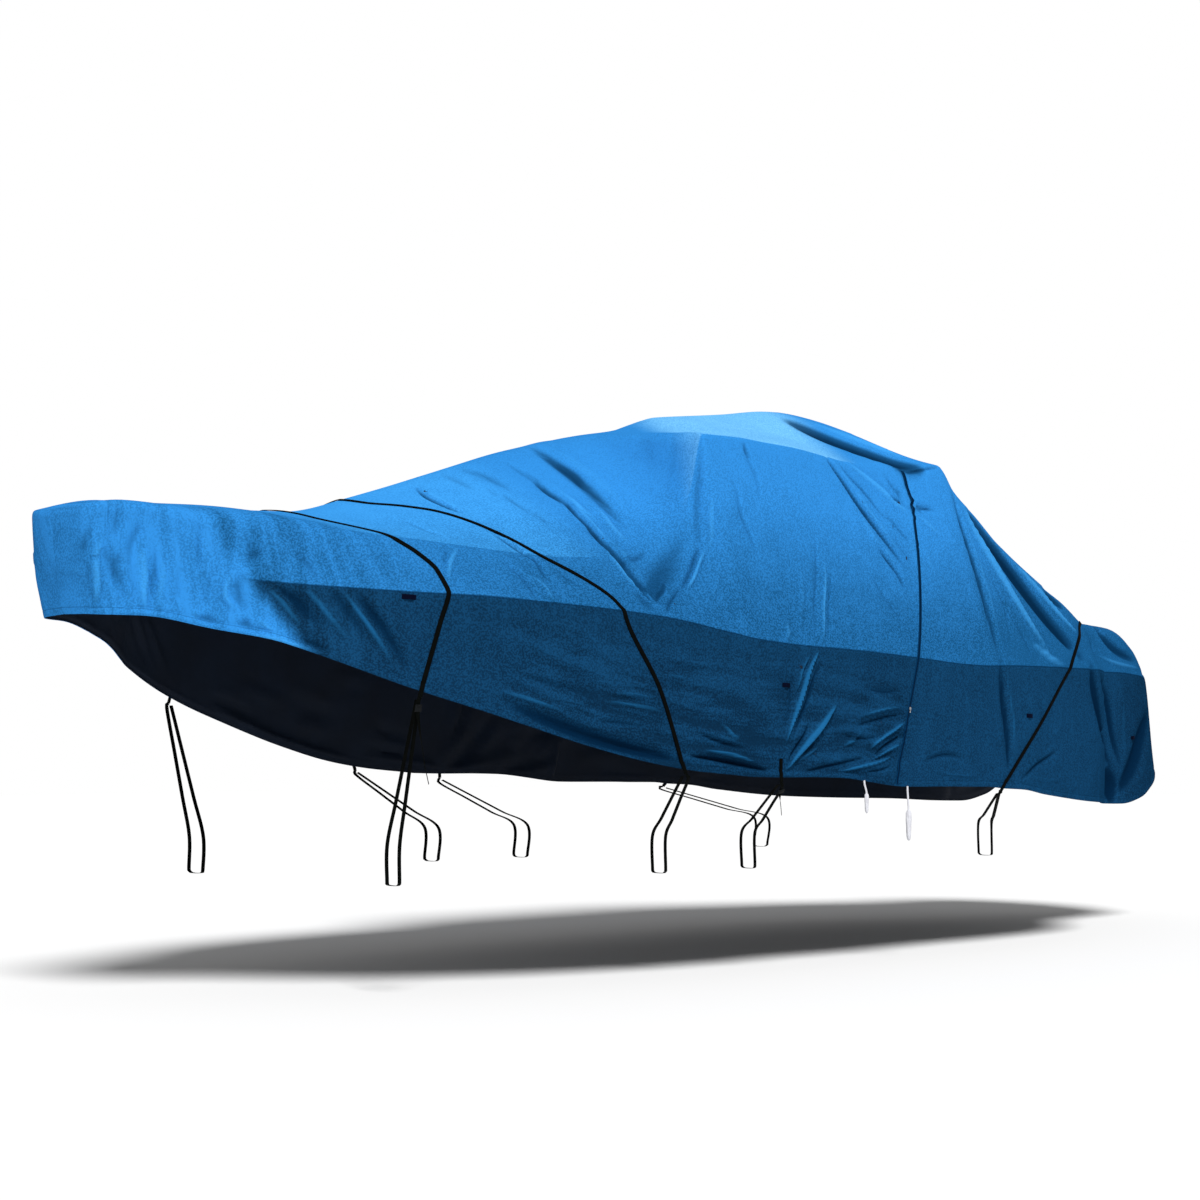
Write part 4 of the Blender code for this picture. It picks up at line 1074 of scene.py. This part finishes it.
def band(name, centres, flats, width, thickness, finish):
    """A flat closed strip with rounded edges along the centres."""
    sides, faces = strip_frame(centres, flats)
    rings = np.stack([centres + sides * a * width + faces * b * thickness for a, b in STRIP_SECTION], 1)
    along = np.repeat(walk(centres), len(STRIP_SECTION))
    across = np.tile([a * width for a, _ in STRIP_SECTION], len(centres))
    return through_rings(name, rings, np.stack((along, across), -1), finish, STRIP_SHARP)


def join(name, pieces):
    """Several meshes made one piece, at the origin."""
    select_only(*pieces)
    bpy.ops.object.join()
    bpy.ops.object.transform_apply(location=True, rotation=True, scale=True)
    joined = bpy.context.active_object
    joined.name = joined.data.name = name
    return joined


def scuffed_finish(name, scuffing, colours, least_rough, rougher, **shine):
    """A hard finish that changes colour where it is scuffed, and is rougher there."""
    material, wire, shader = new_finish(name, **shine)
    scale, detail, low, high = scuffing
    scuffs = noise(object_places(wire), scale, detail)
    connect(mix(step(scuffs, low, high), *colours), shader, "Base Color")
    connect(least_rough + scuffs * rougher, shader, "Roughness")
    return material, scuffs, shader


tape_finish, wire, shader = new_finish("zip_tape_navy", roughness=0.75, specular=0.0)
cut = wire.node("ShaderNodeUVMap", {"uv_map": "cut"}, {})
rib = wire.node("ShaderNodeTexWave", {"bands_direction": "X"}, {"Vector": cut, "Scale": TAPE_RIBS}, "Fac")
connect(mix(rib, *TAPE_NAVY), shader, "Base Color")
add_bump(rib, shader, 0.4, 0.0006)
coil_finish, _, _ = scuffed_finish("zip_coil", COIL_SCUFFS, COIL_NAVY, 0.45, 0.25, specular=0.02)
metal_finish, _, _ = scuffed_finish("slider_metal", SLIDER_SCUFFS, SLIDER_GREY, 0.25, 0.3, metallic=1.0)

zip_places = -np.linspace(*ZIP_PLACES, ZIP_STEPS)
zip_points, zip_flats, _ = cover(np.full(ZIP_STEPS, ZIP_STATION), zip_places)
zip_points = seated(zip_points, zip_flats, 2 * TAPE_WIDTH, STRIP_LIFT + TAPE_THICKNESS / 2)
zip_sides, zip_faces = strip_frame(zip_points, zip_flats)
tapes = []
for side in (-1, 1):
    middle = zip_points + zip_sides * side * (TAPE_WIDTH / 2 + TAPE_PARTED)
    tapes.append(band(f"zip_tape_{side}", middle, zip_flats, TAPE_WIDTH, TAPE_THICKNESS, tape_finish))


def block(size, place, bevel=0.0, segments=1):
    """A block of this size at its place, with rounded edges if they have a bevel."""
    bpy.ops.object.select_all(action="DESELECT")
    bpy.ops.mesh.primitive_cube_add(size=1, location=place)
    made = bpy.context.active_object
    made.scale = size
    bpy.ops.object.transform_apply(location=False, rotation=False, scale=True)
    if bevel:
        apply_modifier(made, "BEVEL", width=bevel, segments=segments)
    return made


# One tooth is a short rounded bar across the line; its copies alternate from side to side
tooth = block(TOOTH_SIZE, (0, 0, 0), TOOTH_BEVEL)
tooth_shape = np.array([vertex.co[:] for vertex in tooth.data.vertices])
tooth_faces = [tuple(polygon.vertices) for polygon in tooth.data.polygons]
bpy.data.objects.remove(tooth, do_unlink=True)
zip_walk = walk(zip_points)
coil_points, coil_faces = [], []
for number, mark in enumerate(np.arange(COIL_MARGINS[0], zip_walk[-1] - COIL_MARGINS[1], TOOTH_PITCH / 2)):
    centre, side, face = [np.array([np.interp(mark, zip_walk, values[:, k]) for k in range(3)])
                          for values in (zip_points, zip_sides, zip_faces)]
    run = np.cross(side, face)
    lean = TOOTH_LEAN if number % 2 else -TOOTH_LEAN
    rise = TAPE_THICKNESS / 2 + TOOTH_SIZE[2] / 2
    start = len(coil_points) * len(tooth_shape)
    coil_points.append(centre + face * rise + side * lean + tooth_shape @ np.stack((side, run, face)))
    coil_faces += [tuple(start + i for i in polygon) for polygon in tooth_faces]
coil_points = np.concatenate(coil_points)
coil = new_piece("zip_coil", coil_points, coil_faces, np.zeros((len(coil_points), 2)), (coil_finish,))
shade_by_angle(coil, HARD_SHARP)
zip_line = join("zip_line", tapes + [coil])
stand_for(zip_line, "zip_tape")


def placed(piece, centre, side, face, finish):
    """Finishes a piece made at the origin and puts it at its place: X sideways, Y outward, Z up its run."""
    piece.data.materials.clear()
    piece.data.materials.append(finish)
    turn = Matrix((side, face, np.cross(side, face))).transposed().to_4x4()
    piece.data.transform(Matrix.Translation(centre) @ turn)
    shade_by_angle(piece, HARD_SHARP)


def metal_ring(radii, segments, place, turn):
    bpy.ops.mesh.primitive_torus_add(major_radius=radii[0], minor_radius=radii[1], major_segments=segments,
                                     minor_segments=8, location=place, rotation=turn)
    return bpy.context.active_object


# Slider: a body with a raised bridge, and a flat pull with a hole, cast in metal
slider_body = block(SLIDER_BODY, (0, 0, 0), SLIDER_BEVEL, 3)
bridge = metal_ring(BRIDGE_RADII, 20, BRIDGE_PLACE, (0, math.pi / 2, 0))
pull_eye = metal_ring(PULL_EYE_RADII, 24, PULL_EYE_PLACE, (math.pi / 2, 0, 0))
pull_eye.scale = (PULL_EYE_NARROWED, 1, 1)
pull = block(PULL_SIZE, PULL_PLACE, PULL_BEVEL, 2)
slider = join("zip_slider_metal", [slider_body, bridge, pull_eye, pull])
row = int(np.argmin(np.abs(zip_places + SLIDER_PLACE)))
face = zip_faces[row]
side = np.cross(face, unit(zip_points[row - 1] - zip_points[row + 1]))
placed(slider, zip_points[row] + face * SLIDER_LIFT, side, face, metal_finish)
stand_for(slider, "zip_slider")

# ---------------------------------------------------------------------------------------------------
# Belt loops: short lengths of dark webbing, each end folded under and sewn flat on the skirt, the
# middle left a little proud so that a strap can pass.
# ---------------------------------------------------------------------------------------------------

# station and place across of each loop
BELT_LOOPS = ((1.31, 2.06), (3.46, 2.31), (5.55, 2.40), (7.67, 2.51))
SIDES = ((-1, "port"), (1, "starboard"))
LOOP_LENGTH = 0.060
LOOP_WIDTH = 0.022
LOOP_THICKNESS = 0.002
LOOP_STEPS = 25
LOOP_RISE = 0.006
LOOP_OPEN = 0.62
LOOP_PITCH = 0.002
LOOP_DARK = ((0.0004, 0.0012, 0.008, 1), (0.001, 0.003, 0.018, 1))
DUST_SCALE = 30.0


def webbing_finish(name, colours, pitch):
    """Woven webbing: chevron ribs along its length, matt and slightly furred."""
    material, wire, shader = new_finish(name, roughness=0.8, specular=0.04)
    along, across = cut_places(wire)
    turns = 2 * math.pi / pitch
    chevron = maths("SINE", (along + maths("ABSOLUTE", across) * 0.6) * turns)
    cords = maths("SINE", across * (turns * 1.5))
    ribs = chevron * 0.3 + cords * 0.2 + 0.5
    dust = noise(object_places(wire), DUST_SCALE, 3.0)
    connect(mix(ribs * step(dust, 0.2, 0.9), *colours), shader, "Base Color")
    add_bump(ribs, shader, 0.5, 0.0006)
    return material


loop_finish = webbing_finish("loop_webbing_dark", LOOP_DARK, LOOP_PITCH)
for number, (station, place) in enumerate(BELT_LOOPS, 1):
    for side, word in SIDES:
        half = LOOP_LENGTH / 2
        stations = np.linspace(station - half, station + half, LOOP_STEPS)
        centres, flats, _ = cover(stations, np.full(LOOP_STEPS, side * place))
        centres = seated(centres, flats, LOOP_WIDTH, STRIP_LIFT + LOOP_THICKNESS / 2)
        t = np.linspace(-1, 1, LOOP_STEPS)
        proud = np.clip(1 - (t / LOOP_OPEN) ** 2, 0, 1) ** 0.5 * LOOP_RISE
        loop = band(f"belt_loop_{number}_{word}_webbing", centres + flats * proud[:, None], flats,
                    LOOP_WIDTH, LOOP_THICKNESS, loop_finish)
        stand_for(loop, f"belt_loop_{number}_{word}")

# ---------------------------------------------------------------------------------------------------
# Straps: three lengths of black webbing drawn taut over the cover from hem to hem, and a short one
# sewn to the gathered hem on each side. On the cover the webbing is doubled. It presses lightly on
# the cloth and bridges its folds.
# ---------------------------------------------------------------------------------------------------
WEBBING_WIDTH = 0.022
WEBBING_THICKNESS = 0.002
DOUBLED_THICKNESS = 0.0045
WEBBING_PITCH = 0.0024
WEBBING_BLACK = ((0.0004, 0.0008, 0.0006, 1), (0.0022, 0.0034, 0.0026, 1))
STRAP_STEPS = 420
STRAP_PLACE = 2.99
STRAP_SETTLE = 6
HEM_STRAP_STATION = 3.42
HEM_STRAP_PLACES = (2.86, 2.99)
HEM_STRAP_STEPS = 24

# A strap's end hangs this far below the hem, at these parts of it, the way its last few steps point
STRAP_END = 0.030
END_PARTS = (1, 0.66, 0.33)
END_STEPS = 4


def lay_strap(node, stations, places, ends):
    """A strap on the cover; its listed ends hang a little below the hem, and are given for the legs."""
    centres, flats, _ = cover(stations, places)
    lift = STRIP_LIFT + DOUBLED_THICKNESS / 2
    centres = seated(centres, flats, WEBBING_WIDTH, lift, STRAP_SETTLE)
    tips = {}
    for side in ends:
        port = side < 0
        first, inner = (0, END_STEPS) if port else (-1, -1 - END_STEPS)
        down = (centres[first] - centres[inner]) / np.linalg.norm(centres[first] - centres[inner])
        tail = [centres[first] + down * STRAP_END * part for part in END_PARTS]
        flat = [flats[first]] * len(END_PARTS)
        centres = np.vstack(tail + [centres]) if port else np.vstack([centres] + tail[::-1])
        flats = np.vstack(flat + [flats]) if port else np.vstack([flats] + flat)
        tips[side] = (tail[0], down)
    piece = band(f"{node}_webbing", centres, flats, WEBBING_WIDTH, DOUBLED_THICKNESS, strap_finish)
    stand_for(piece, node)
    return piece, centres, tips


strap_finish = webbing_finish("strap_webbing_black", WEBBING_BLACK, WEBBING_PITCH)
strap_ends = {}
for strap_name, rows in STRAPS.items():
    strap_places = np.linspace(-STRAP_PLACE, STRAP_PLACE, STRAP_STEPS)
    strap_stations = table_column(rows, 1, np.abs(strap_places))
    piece, centres, tips = lay_strap(strap_name, strap_stations, strap_places, (-1, 1))
    for side in (-1, 1):
        strap_ends[strap_name, side] = tips[side]
hem_straps = {}
for side, word in SIDES:
    strap_places = side * np.linspace(*HEM_STRAP_PLACES, HEM_STRAP_STEPS)
    if side < 0:
        strap_places = strap_places[::-1]
    strap_stations = np.full(HEM_STRAP_STEPS, HEM_STRAP_STATION)
    hem_straps[side], _, tips = lay_strap(f"strap_hem_{word}", strap_stations, strap_places, (side,))
    strap_ends["strap_hem", side] = tips[side]

# ---------------------------------------------------------------------------------------------------
# Legs: each strap goes on below the hem, turns back at its foot and comes up behind itself, so that
# the cover can be drawn down. The same webbing, single here, held flat by its tension.
# ---------------------------------------------------------------------------------------------------

# strap, leg, station of its foot, distance of its foot from the middle
LEGS = (
    ("strap_bow", "leg_bow", 1.385, 0.800),
    ("strap_middle", "leg_middle", 2.990, 0.900),
    ("strap_hem", "leg_hem", 3.650, 0.900),
    ("strap_aft", "leg_aft", 5.700, 0.900),
)
LEG_FOOT_HEIGHT = 0.500
LEG_STEPS = 130
LEG_START = 0.030
LEG_PARTS = (0.35, 0.70)
LEG_SHIFT = 0.012
LEG_RETURN = (0.022, 0.012)
CURVE_STEPS = 16
PIECE_GAP = 0.0004

# Round the foot of a leg: part of the shift aft, distance in from the outer run, height over the foot
LEG_FOOT = (
    (0.00, 0.000, 0.180),
    (0.00, 0.000, 0.020),
    (0.17, 0.006, 0.006),
    (0.33, 0.020, 0.000),
    (0.67, 0.080, 0.000),
    (0.83, 0.094, 0.006),
    (1.00, 0.100, 0.020),
    (1.00, 0.100, 0.180),
)


def smooth_route(points, steps):
    """Evenly spaced points on a smooth curve through the route's own points."""
    route = np.array(points, float)
    ends = np.vstack((2 * route[0] - route[1], route, 2 * route[-1] - route[-2]))
    fine = []
    for i in range(1, len(ends) - 2):
        for t in np.linspace(0, 1, CURVE_STEPS, endpoint=i == len(ends) - 3):
            a, b, c, d = ends[i - 1:i + 3]
            fine.append(0.5 * (2 * b + (c - a) * t + (2 * a - 5 * b + 4 * c - d) * t * t
                               + (3 * b - a - 3 * c + d) * t**3))
    fine = np.array(fine)
    walked = walk(fine)
    marks = np.linspace(0, walked[-1], steps)
    return np.stack([np.interp(marks, walked, fine[:, k]) for k in range(3)], -1)


def leg_route(start, down, foot_station, foot_width, side):
    """From the strap's end down to the foot, round it and back up inside, almost to the start."""
    foot = []
    for shift, inward, height in LEG_FOOT:
        aft = foot_station - MOUNT_STATION + shift * LEG_SHIFT
        foot.append(np.array((aft, side * (foot_width - inward), LEG_FOOT_HEIGHT - MOUNT_HEIGHT + height)))
    begin = start + down * LEG_START
    inward, drop = LEG_RETURN
    back = start - np.array((0, side * inward, drop))
    way_down = [begin + (foot[0] - begin) * part for part in LEG_PARTS]
    way_up = [back + (foot[-1] - back) * part for part in reversed(LEG_PARTS)]
    return [start, begin, *way_down, *foot, *way_up, back]


legs = {}
for strap, leg, foot_station, foot_width in LEGS:
    for side, word in SIDES:
        tip, down = strap_ends[strap, side]
        marks = leg_route(tip + down * PIECE_GAP, down, foot_station, foot_width, side)
        route = smooth_route(marks, LEG_STEPS)
        flats = unit(np.cross(np.gradient(route, axis=0), (side, 0, 0)))
        piece = band(f"{leg}_{word}_webbing", route, flats, WEBBING_WIDTH, WEBBING_THICKNESS, strap_finish)
        stand_for(piece, f"{leg}_{word}")
        legs[strap, side] = (piece, route, -flats)

# ---------------------------------------------------------------------------------------------------
# Buckles and free tails on two port legs: a moulded frame with a bar, which the webbing is threaded
# round, and the spare webbing hanging and twisting below it.
# ---------------------------------------------------------------------------------------------------

# The way of each tail: aft, out and up from its start
TAILS = {
    "bow": ((0, 0, 0), (0.003, 0, -0.03), (0.010, 0.004, -0.09), (0.020, 0.012, -0.17),
            (0.028, 0.014, -0.225), (0.049, 0.018, -0.31)),
    "hem": ((0, 0, 0), (0.002, 0.001, -0.03), (0.005, 0.003, -0.065), (0.006, 0.006, -0.105)),
}
TAIL_STEPS = 60
TAIL_OUT = 0.001
TAIL_FIRST = 0.006
TAIL_FACING = (0.7, -0.7, 0)
TAIL_TURN = 2.5
BUCKLE_SIZE = (0.034, 0.007, 0.032)
BUCKLE_DROP = 0.045
BUCKLE_WALL = 0.006
BUCKLE_BEVEL = 0.0016
BUCKLE_BLACK = ((0.003, 0.004, 0.005, 1), (0.010, 0.012, 0.013, 1))
BUCKLE_SCUFFS = (300.0, 3.0, 0.5, 0.8)

# Bars: height in the frame, thickness. The thumb lip's place is given as parts of the buckle's size.
BARS = ((0.004, 0.0035), (-0.006, 0.0030))
BAR_PART = 0.94
BAR_OUT = 0.0008
THUMB_LIP_SIZE = (0.024, 0.005, 0.007)
THUMB_LIP_PLACE = (0, 0.35, 0.36)
THUMB_LIP_BEVEL = 0.0014

buckle_finish, scuffs, shader = scuffed_finish(
    "buckle_black", BUCKLE_SCUFFS, BUCKLE_BLACK, 0.55, 0.3, specular=0.1)
add_bump(scuffs, shader, 0.2, 0.0004)


def buckle_pieces():
    """A block, its front and back inset and bridged to a frame, with bars and a thumb lip across it."""
    frame_piece = block(BUCKLE_SIZE, (0, 0, 0))
    bpy.ops.object.mode_set(mode="EDIT")
    bpy.ops.mesh.select_all(action="DESELECT")
    bm = bmesh.from_edit_mesh(frame_piece.data)
    for polygon in bm.faces:
        polygon.select_set(abs(polygon.normal.y) > 0.9)
    bmesh.update_edit_mesh(frame_piece.data)
    bpy.ops.mesh.inset(thickness=BUCKLE_WALL, use_individual=True)
    bpy.ops.mesh.bridge_edge_loops()
    bpy.ops.object.mode_set(mode="OBJECT")
    apply_modifier(frame_piece, "BEVEL", width=BUCKLE_BEVEL, segments=3, limit_method="ANGLE")
    pieces = [frame_piece]
    for height, thick in BARS:
        bpy.ops.mesh.primitive_cylinder_add(vertices=16, radius=thick / 2, depth=BUCKLE_SIZE[0] * BAR_PART,
                                            location=(0, BAR_OUT, height), rotation=(0, math.pi / 2, 0))
        pieces.append(bpy.context.active_object)
    lip_place = [size * part for size, part in zip(BUCKLE_SIZE, THUMB_LIP_PLACE)]
    return pieces + [block(THUMB_LIP_SIZE, lip_place, THUMB_LIP_BEVEL, 2)]


on_legs, tail_routes = {}, {}
for strap, offsets in TAILS.items():
    _, route, faces = legs[f"strap_{strap}", -1]
    walked = np.linalg.norm(route - route[0], axis=-1)[:LEG_STEPS // 3]
    row = int(np.argmin(np.abs(walked - BUCKLE_DROP)))
    face = faces[row]
    way = unit(route[row + 1] - route[row - 1])
    centre = route[row] + face * (WEBBING_THICKNESS / 2 + PIECE_GAP + BUCKLE_SIZE[1] / 2)
    buckle = join(f"buckle_{strap}_moulded", buckle_pieces())
    placed(buckle, centre, np.cross(face, -way), face, buckle_finish)
    stand_for(buckle, f"buckle_{strap}")

    foot = centre + face * TAIL_OUT + way * (BUCKLE_SIZE[2] / 2 + PIECE_GAP)
    start = foot + way * TAIL_FIRST
    tail_route = smooth_route([start + np.array((aft, -out, up)) for aft, out, up in offsets], TAIL_STEPS - 1)
    tail_route = np.vstack((foot, tail_route))
    turn = np.clip(np.linspace(0, TAIL_TURN, TAIL_STEPS), 0, 1)[:, None]
    facing = face * (1 - turn) + np.array(TAIL_FACING) * turn
    tail = band(f"tail_{strap}_webbing", tail_route, facing, WEBBING_WIDTH, WEBBING_THICKNESS, strap_finish)
    stand_for(tail, f"tail_{strap}")
    on_legs[f"strap_{strap}", -1] = [buckle, tail]
    tail_routes[strap] = (tail, tail_route)

# The short hem strap pieces, under six widths long, belong to their legs
for side in (-1, 1):
    on_legs.setdefault(("strap_hem", side), []).append(hem_straps[side])

# ---------------------------------------------------------------------------------------------------
# Two ties on the port hem: white braided cord, sewn into the hem beside the zip, each hanging with
# its end doubled into a short bundle.
# ---------------------------------------------------------------------------------------------------

# tie, station, its way aft, out and up from the hem, length and radius of its bundle
TIES = (
    ("tie_fore", 4.115, ((0, 0, 0), (0.002, 0, -0.02), (0.010, 0.002, -0.045), (0.014, 0.003, -0.062)),
     0.105, 0.011),
    ("tie_aft", 4.655, ((0, 0, 0), (0.001, 0, -0.03), (0.003, 0.001, -0.07), (0.005, 0.002, -0.118)),
     0.165, 0.015),
)
TIE_RADIUS = 0.005
TIE_SIDES = 16
TIE_STEPS = 40
TIE_GAP = 0.0006
HEM_SEARCH = 0.3
BRAID_PITCH = 0.004
TIE_WHITE = ((0.80, 0.81, 0.86, 1), (0.55, 0.55, 0.60, 1))
SOIL_SCALE = 60.0
TIE_SHARP = 60

# The bundle at a tie's end: part of its drop, part of its radius
BUNDLE_PROFILE = (
    (0, 0),
    (0.03, 0.45),
    (0.12, 0.9),
    (0.30, 1),
    (0.55, 0.85),
    (0.80, 0.8),
    (0.95, 0.5),
    (1, 0),
)
BUNDLE_STEPS = 44
BUNDLE_SIDES = 40
BUNDLE_LOBES = 5
BUNDLE_TURN = 1.3
LOBE_DEPTH = 0.14
BUNDLE_DROPS = (0.004, 0.996)
BUNDLE_LEAST = 0.0008

# Inside its bundle the cord goes on from this far below its curve's end to this part of the bundle
CORD_INSIDE = (0.004, 0.97)

tie_finish, wire, shader = new_finish("tie_white", roughness=0.7)
along, around = cut_places(wire)
turns = 2 * math.pi / BRAID_PITCH
braid = maths("SINE", (along + around) * turns) * maths("SINE", (along - around) * turns)
soil = noise(object_places(wire), SOIL_SCALE, 3.0)
connect(mix(soil, *TIE_WHITE), shader, "Base Color")
add_bump(braid, shader, 0.6, 0.0008)


def tube(name, centres, radii, sides, lobes=0):
    """A closed tube of tie cord along the centres, its section round or lobed and slowly turning."""
    runs = unit(np.gradient(centres, axis=0))
    first = unit(np.cross(runs, (0, 1, 0)))
    second = np.cross(runs, first)
    walked = walk(centres)
    angles = np.linspace(0, 2 * np.pi, sides, endpoint=False)
    turned = angles[None] + BUNDLE_TURN * walked[:, None] / walked[-1]
    lobed = LOBE_DEPTH * np.abs(np.cos(lobes * turned / 2)) - LOBE_DEPTH / 2 if lobes else 0
    ring = radii[:, None] * (1 + lobed) * np.ones(sides)
    rings = (centres[:, None] + first[:, None] * (ring * np.cos(angles))[..., None]
             + second[:, None] * (ring * np.sin(angles))[..., None])
    cut = np.stack((np.repeat(walked, sides), np.tile(angles * radii.max(), len(centres))), -1)
    return through_rings(name, rings, cut, tie_finish, TIE_SHARP)


for tie, station, offsets, length, radius in TIES:
    hem, _, _ = cover(np.array([station]), np.array([-STRAP_PLACE]))
    below_hem = hem[0] + np.array((0, CLOTH_THICKNESS / 2, -HEM_SEARCH))
    gap = cloth_tree.ray_cast(Vector(below_hem), Vector((0, 0, 1)), 2 * HEM_SEARCH)[3]
    top = below_hem + np.array((0, 0, gap - TIE_GAP))
    points = smooth_route([top + np.array((aft, -out, up)) for aft, out, up in offsets], TIE_STEPS)
    bundle_top = points[-1] - np.array((0, 0, 2 * PIECE_GAP))
    inside = np.linspace(CORD_INSIDE[0], length * CORD_INSIDE[1], TIE_STEPS)
    points = np.vstack((points, points[-1] - np.array((0, 0, 1)) * inside[:, None]))
    cord = tube(f"{tie}_cord", points, np.full(len(points), TIE_RADIUS), TIE_SIDES)
    drops = np.linspace(*BUNDLE_DROPS, BUNDLE_STEPS)
    radii = np.maximum(table_column(BUNDLE_PROFILE, 1, drops) * radius, BUNDLE_LEAST)
    centres = bundle_top - np.stack((0 * drops, 0 * drops, drops * length), -1)
    bundle = tube(f"{tie}_bundle_cord", centres, radii, BUNDLE_SIDES, BUNDLE_LOBES)
    stand_for(cord, tie)
    stand_for(bundle, f"{tie}_bundle")

# ---------------------------------------------------------------------------------------------------
# Floor and light of a plain studio: one broad soft key high on the port side and a pale surround.
# ---------------------------------------------------------------------------------------------------
FLOOR_SIZE = 80
FLOOR_PALE = (0.90, 0.90, 0.90, 1)
SKY_WHITE = (1, 1, 1, 1)
SKY_SEEN = 1.0
SKY_LIGHT = 0.25
KEY_STRENGTH = 3.9
KEY_BREADTH = 18
KEY_FROM = (-0.36, -0.54, 0.76)

bpy.ops.mesh.primitive_plane_add(size=FLOOR_SIZE, location=(0, 0, -MOUNT_HEIGHT))
floor = bpy.context.active_object
floor.name = "floor"
floor_finish, _, shader = new_finish("floor_pale", roughness=0.9)
shader.inputs["Base Color"].default_value = FLOOR_PALE
floor.data.materials.append(floor_finish)

world = bpy.data.worlds.new("studio")
bpy.context.scene.world = world
world.use_nodes = True
seen = Wire(world.node_tree).node("ShaderNodeLightPath", {}, {}, "Is Camera Ray")
background = world.node_tree.nodes["Background"]
background.inputs["Color"].default_value = SKY_WHITE
connect(seen * (SKY_SEEN - SKY_LIGHT) + SKY_LIGHT, background, "Strength")

key_light = bpy.data.lights.new("soft_key", "SUN")
key_light.energy = KEY_STRENGTH
key_light.angle = math.radians(KEY_BREADTH)
key = bpy.data.objects.new("soft_key", key_light)
key.rotation_euler = Vector(KEY_FROM).to_track_quat("Z", "Y").to_euler()
bpy.context.collection.objects.link(key)
bpy.context.scene.view_settings.view_transform = "Standard"

bpy.context.view_layer.update()
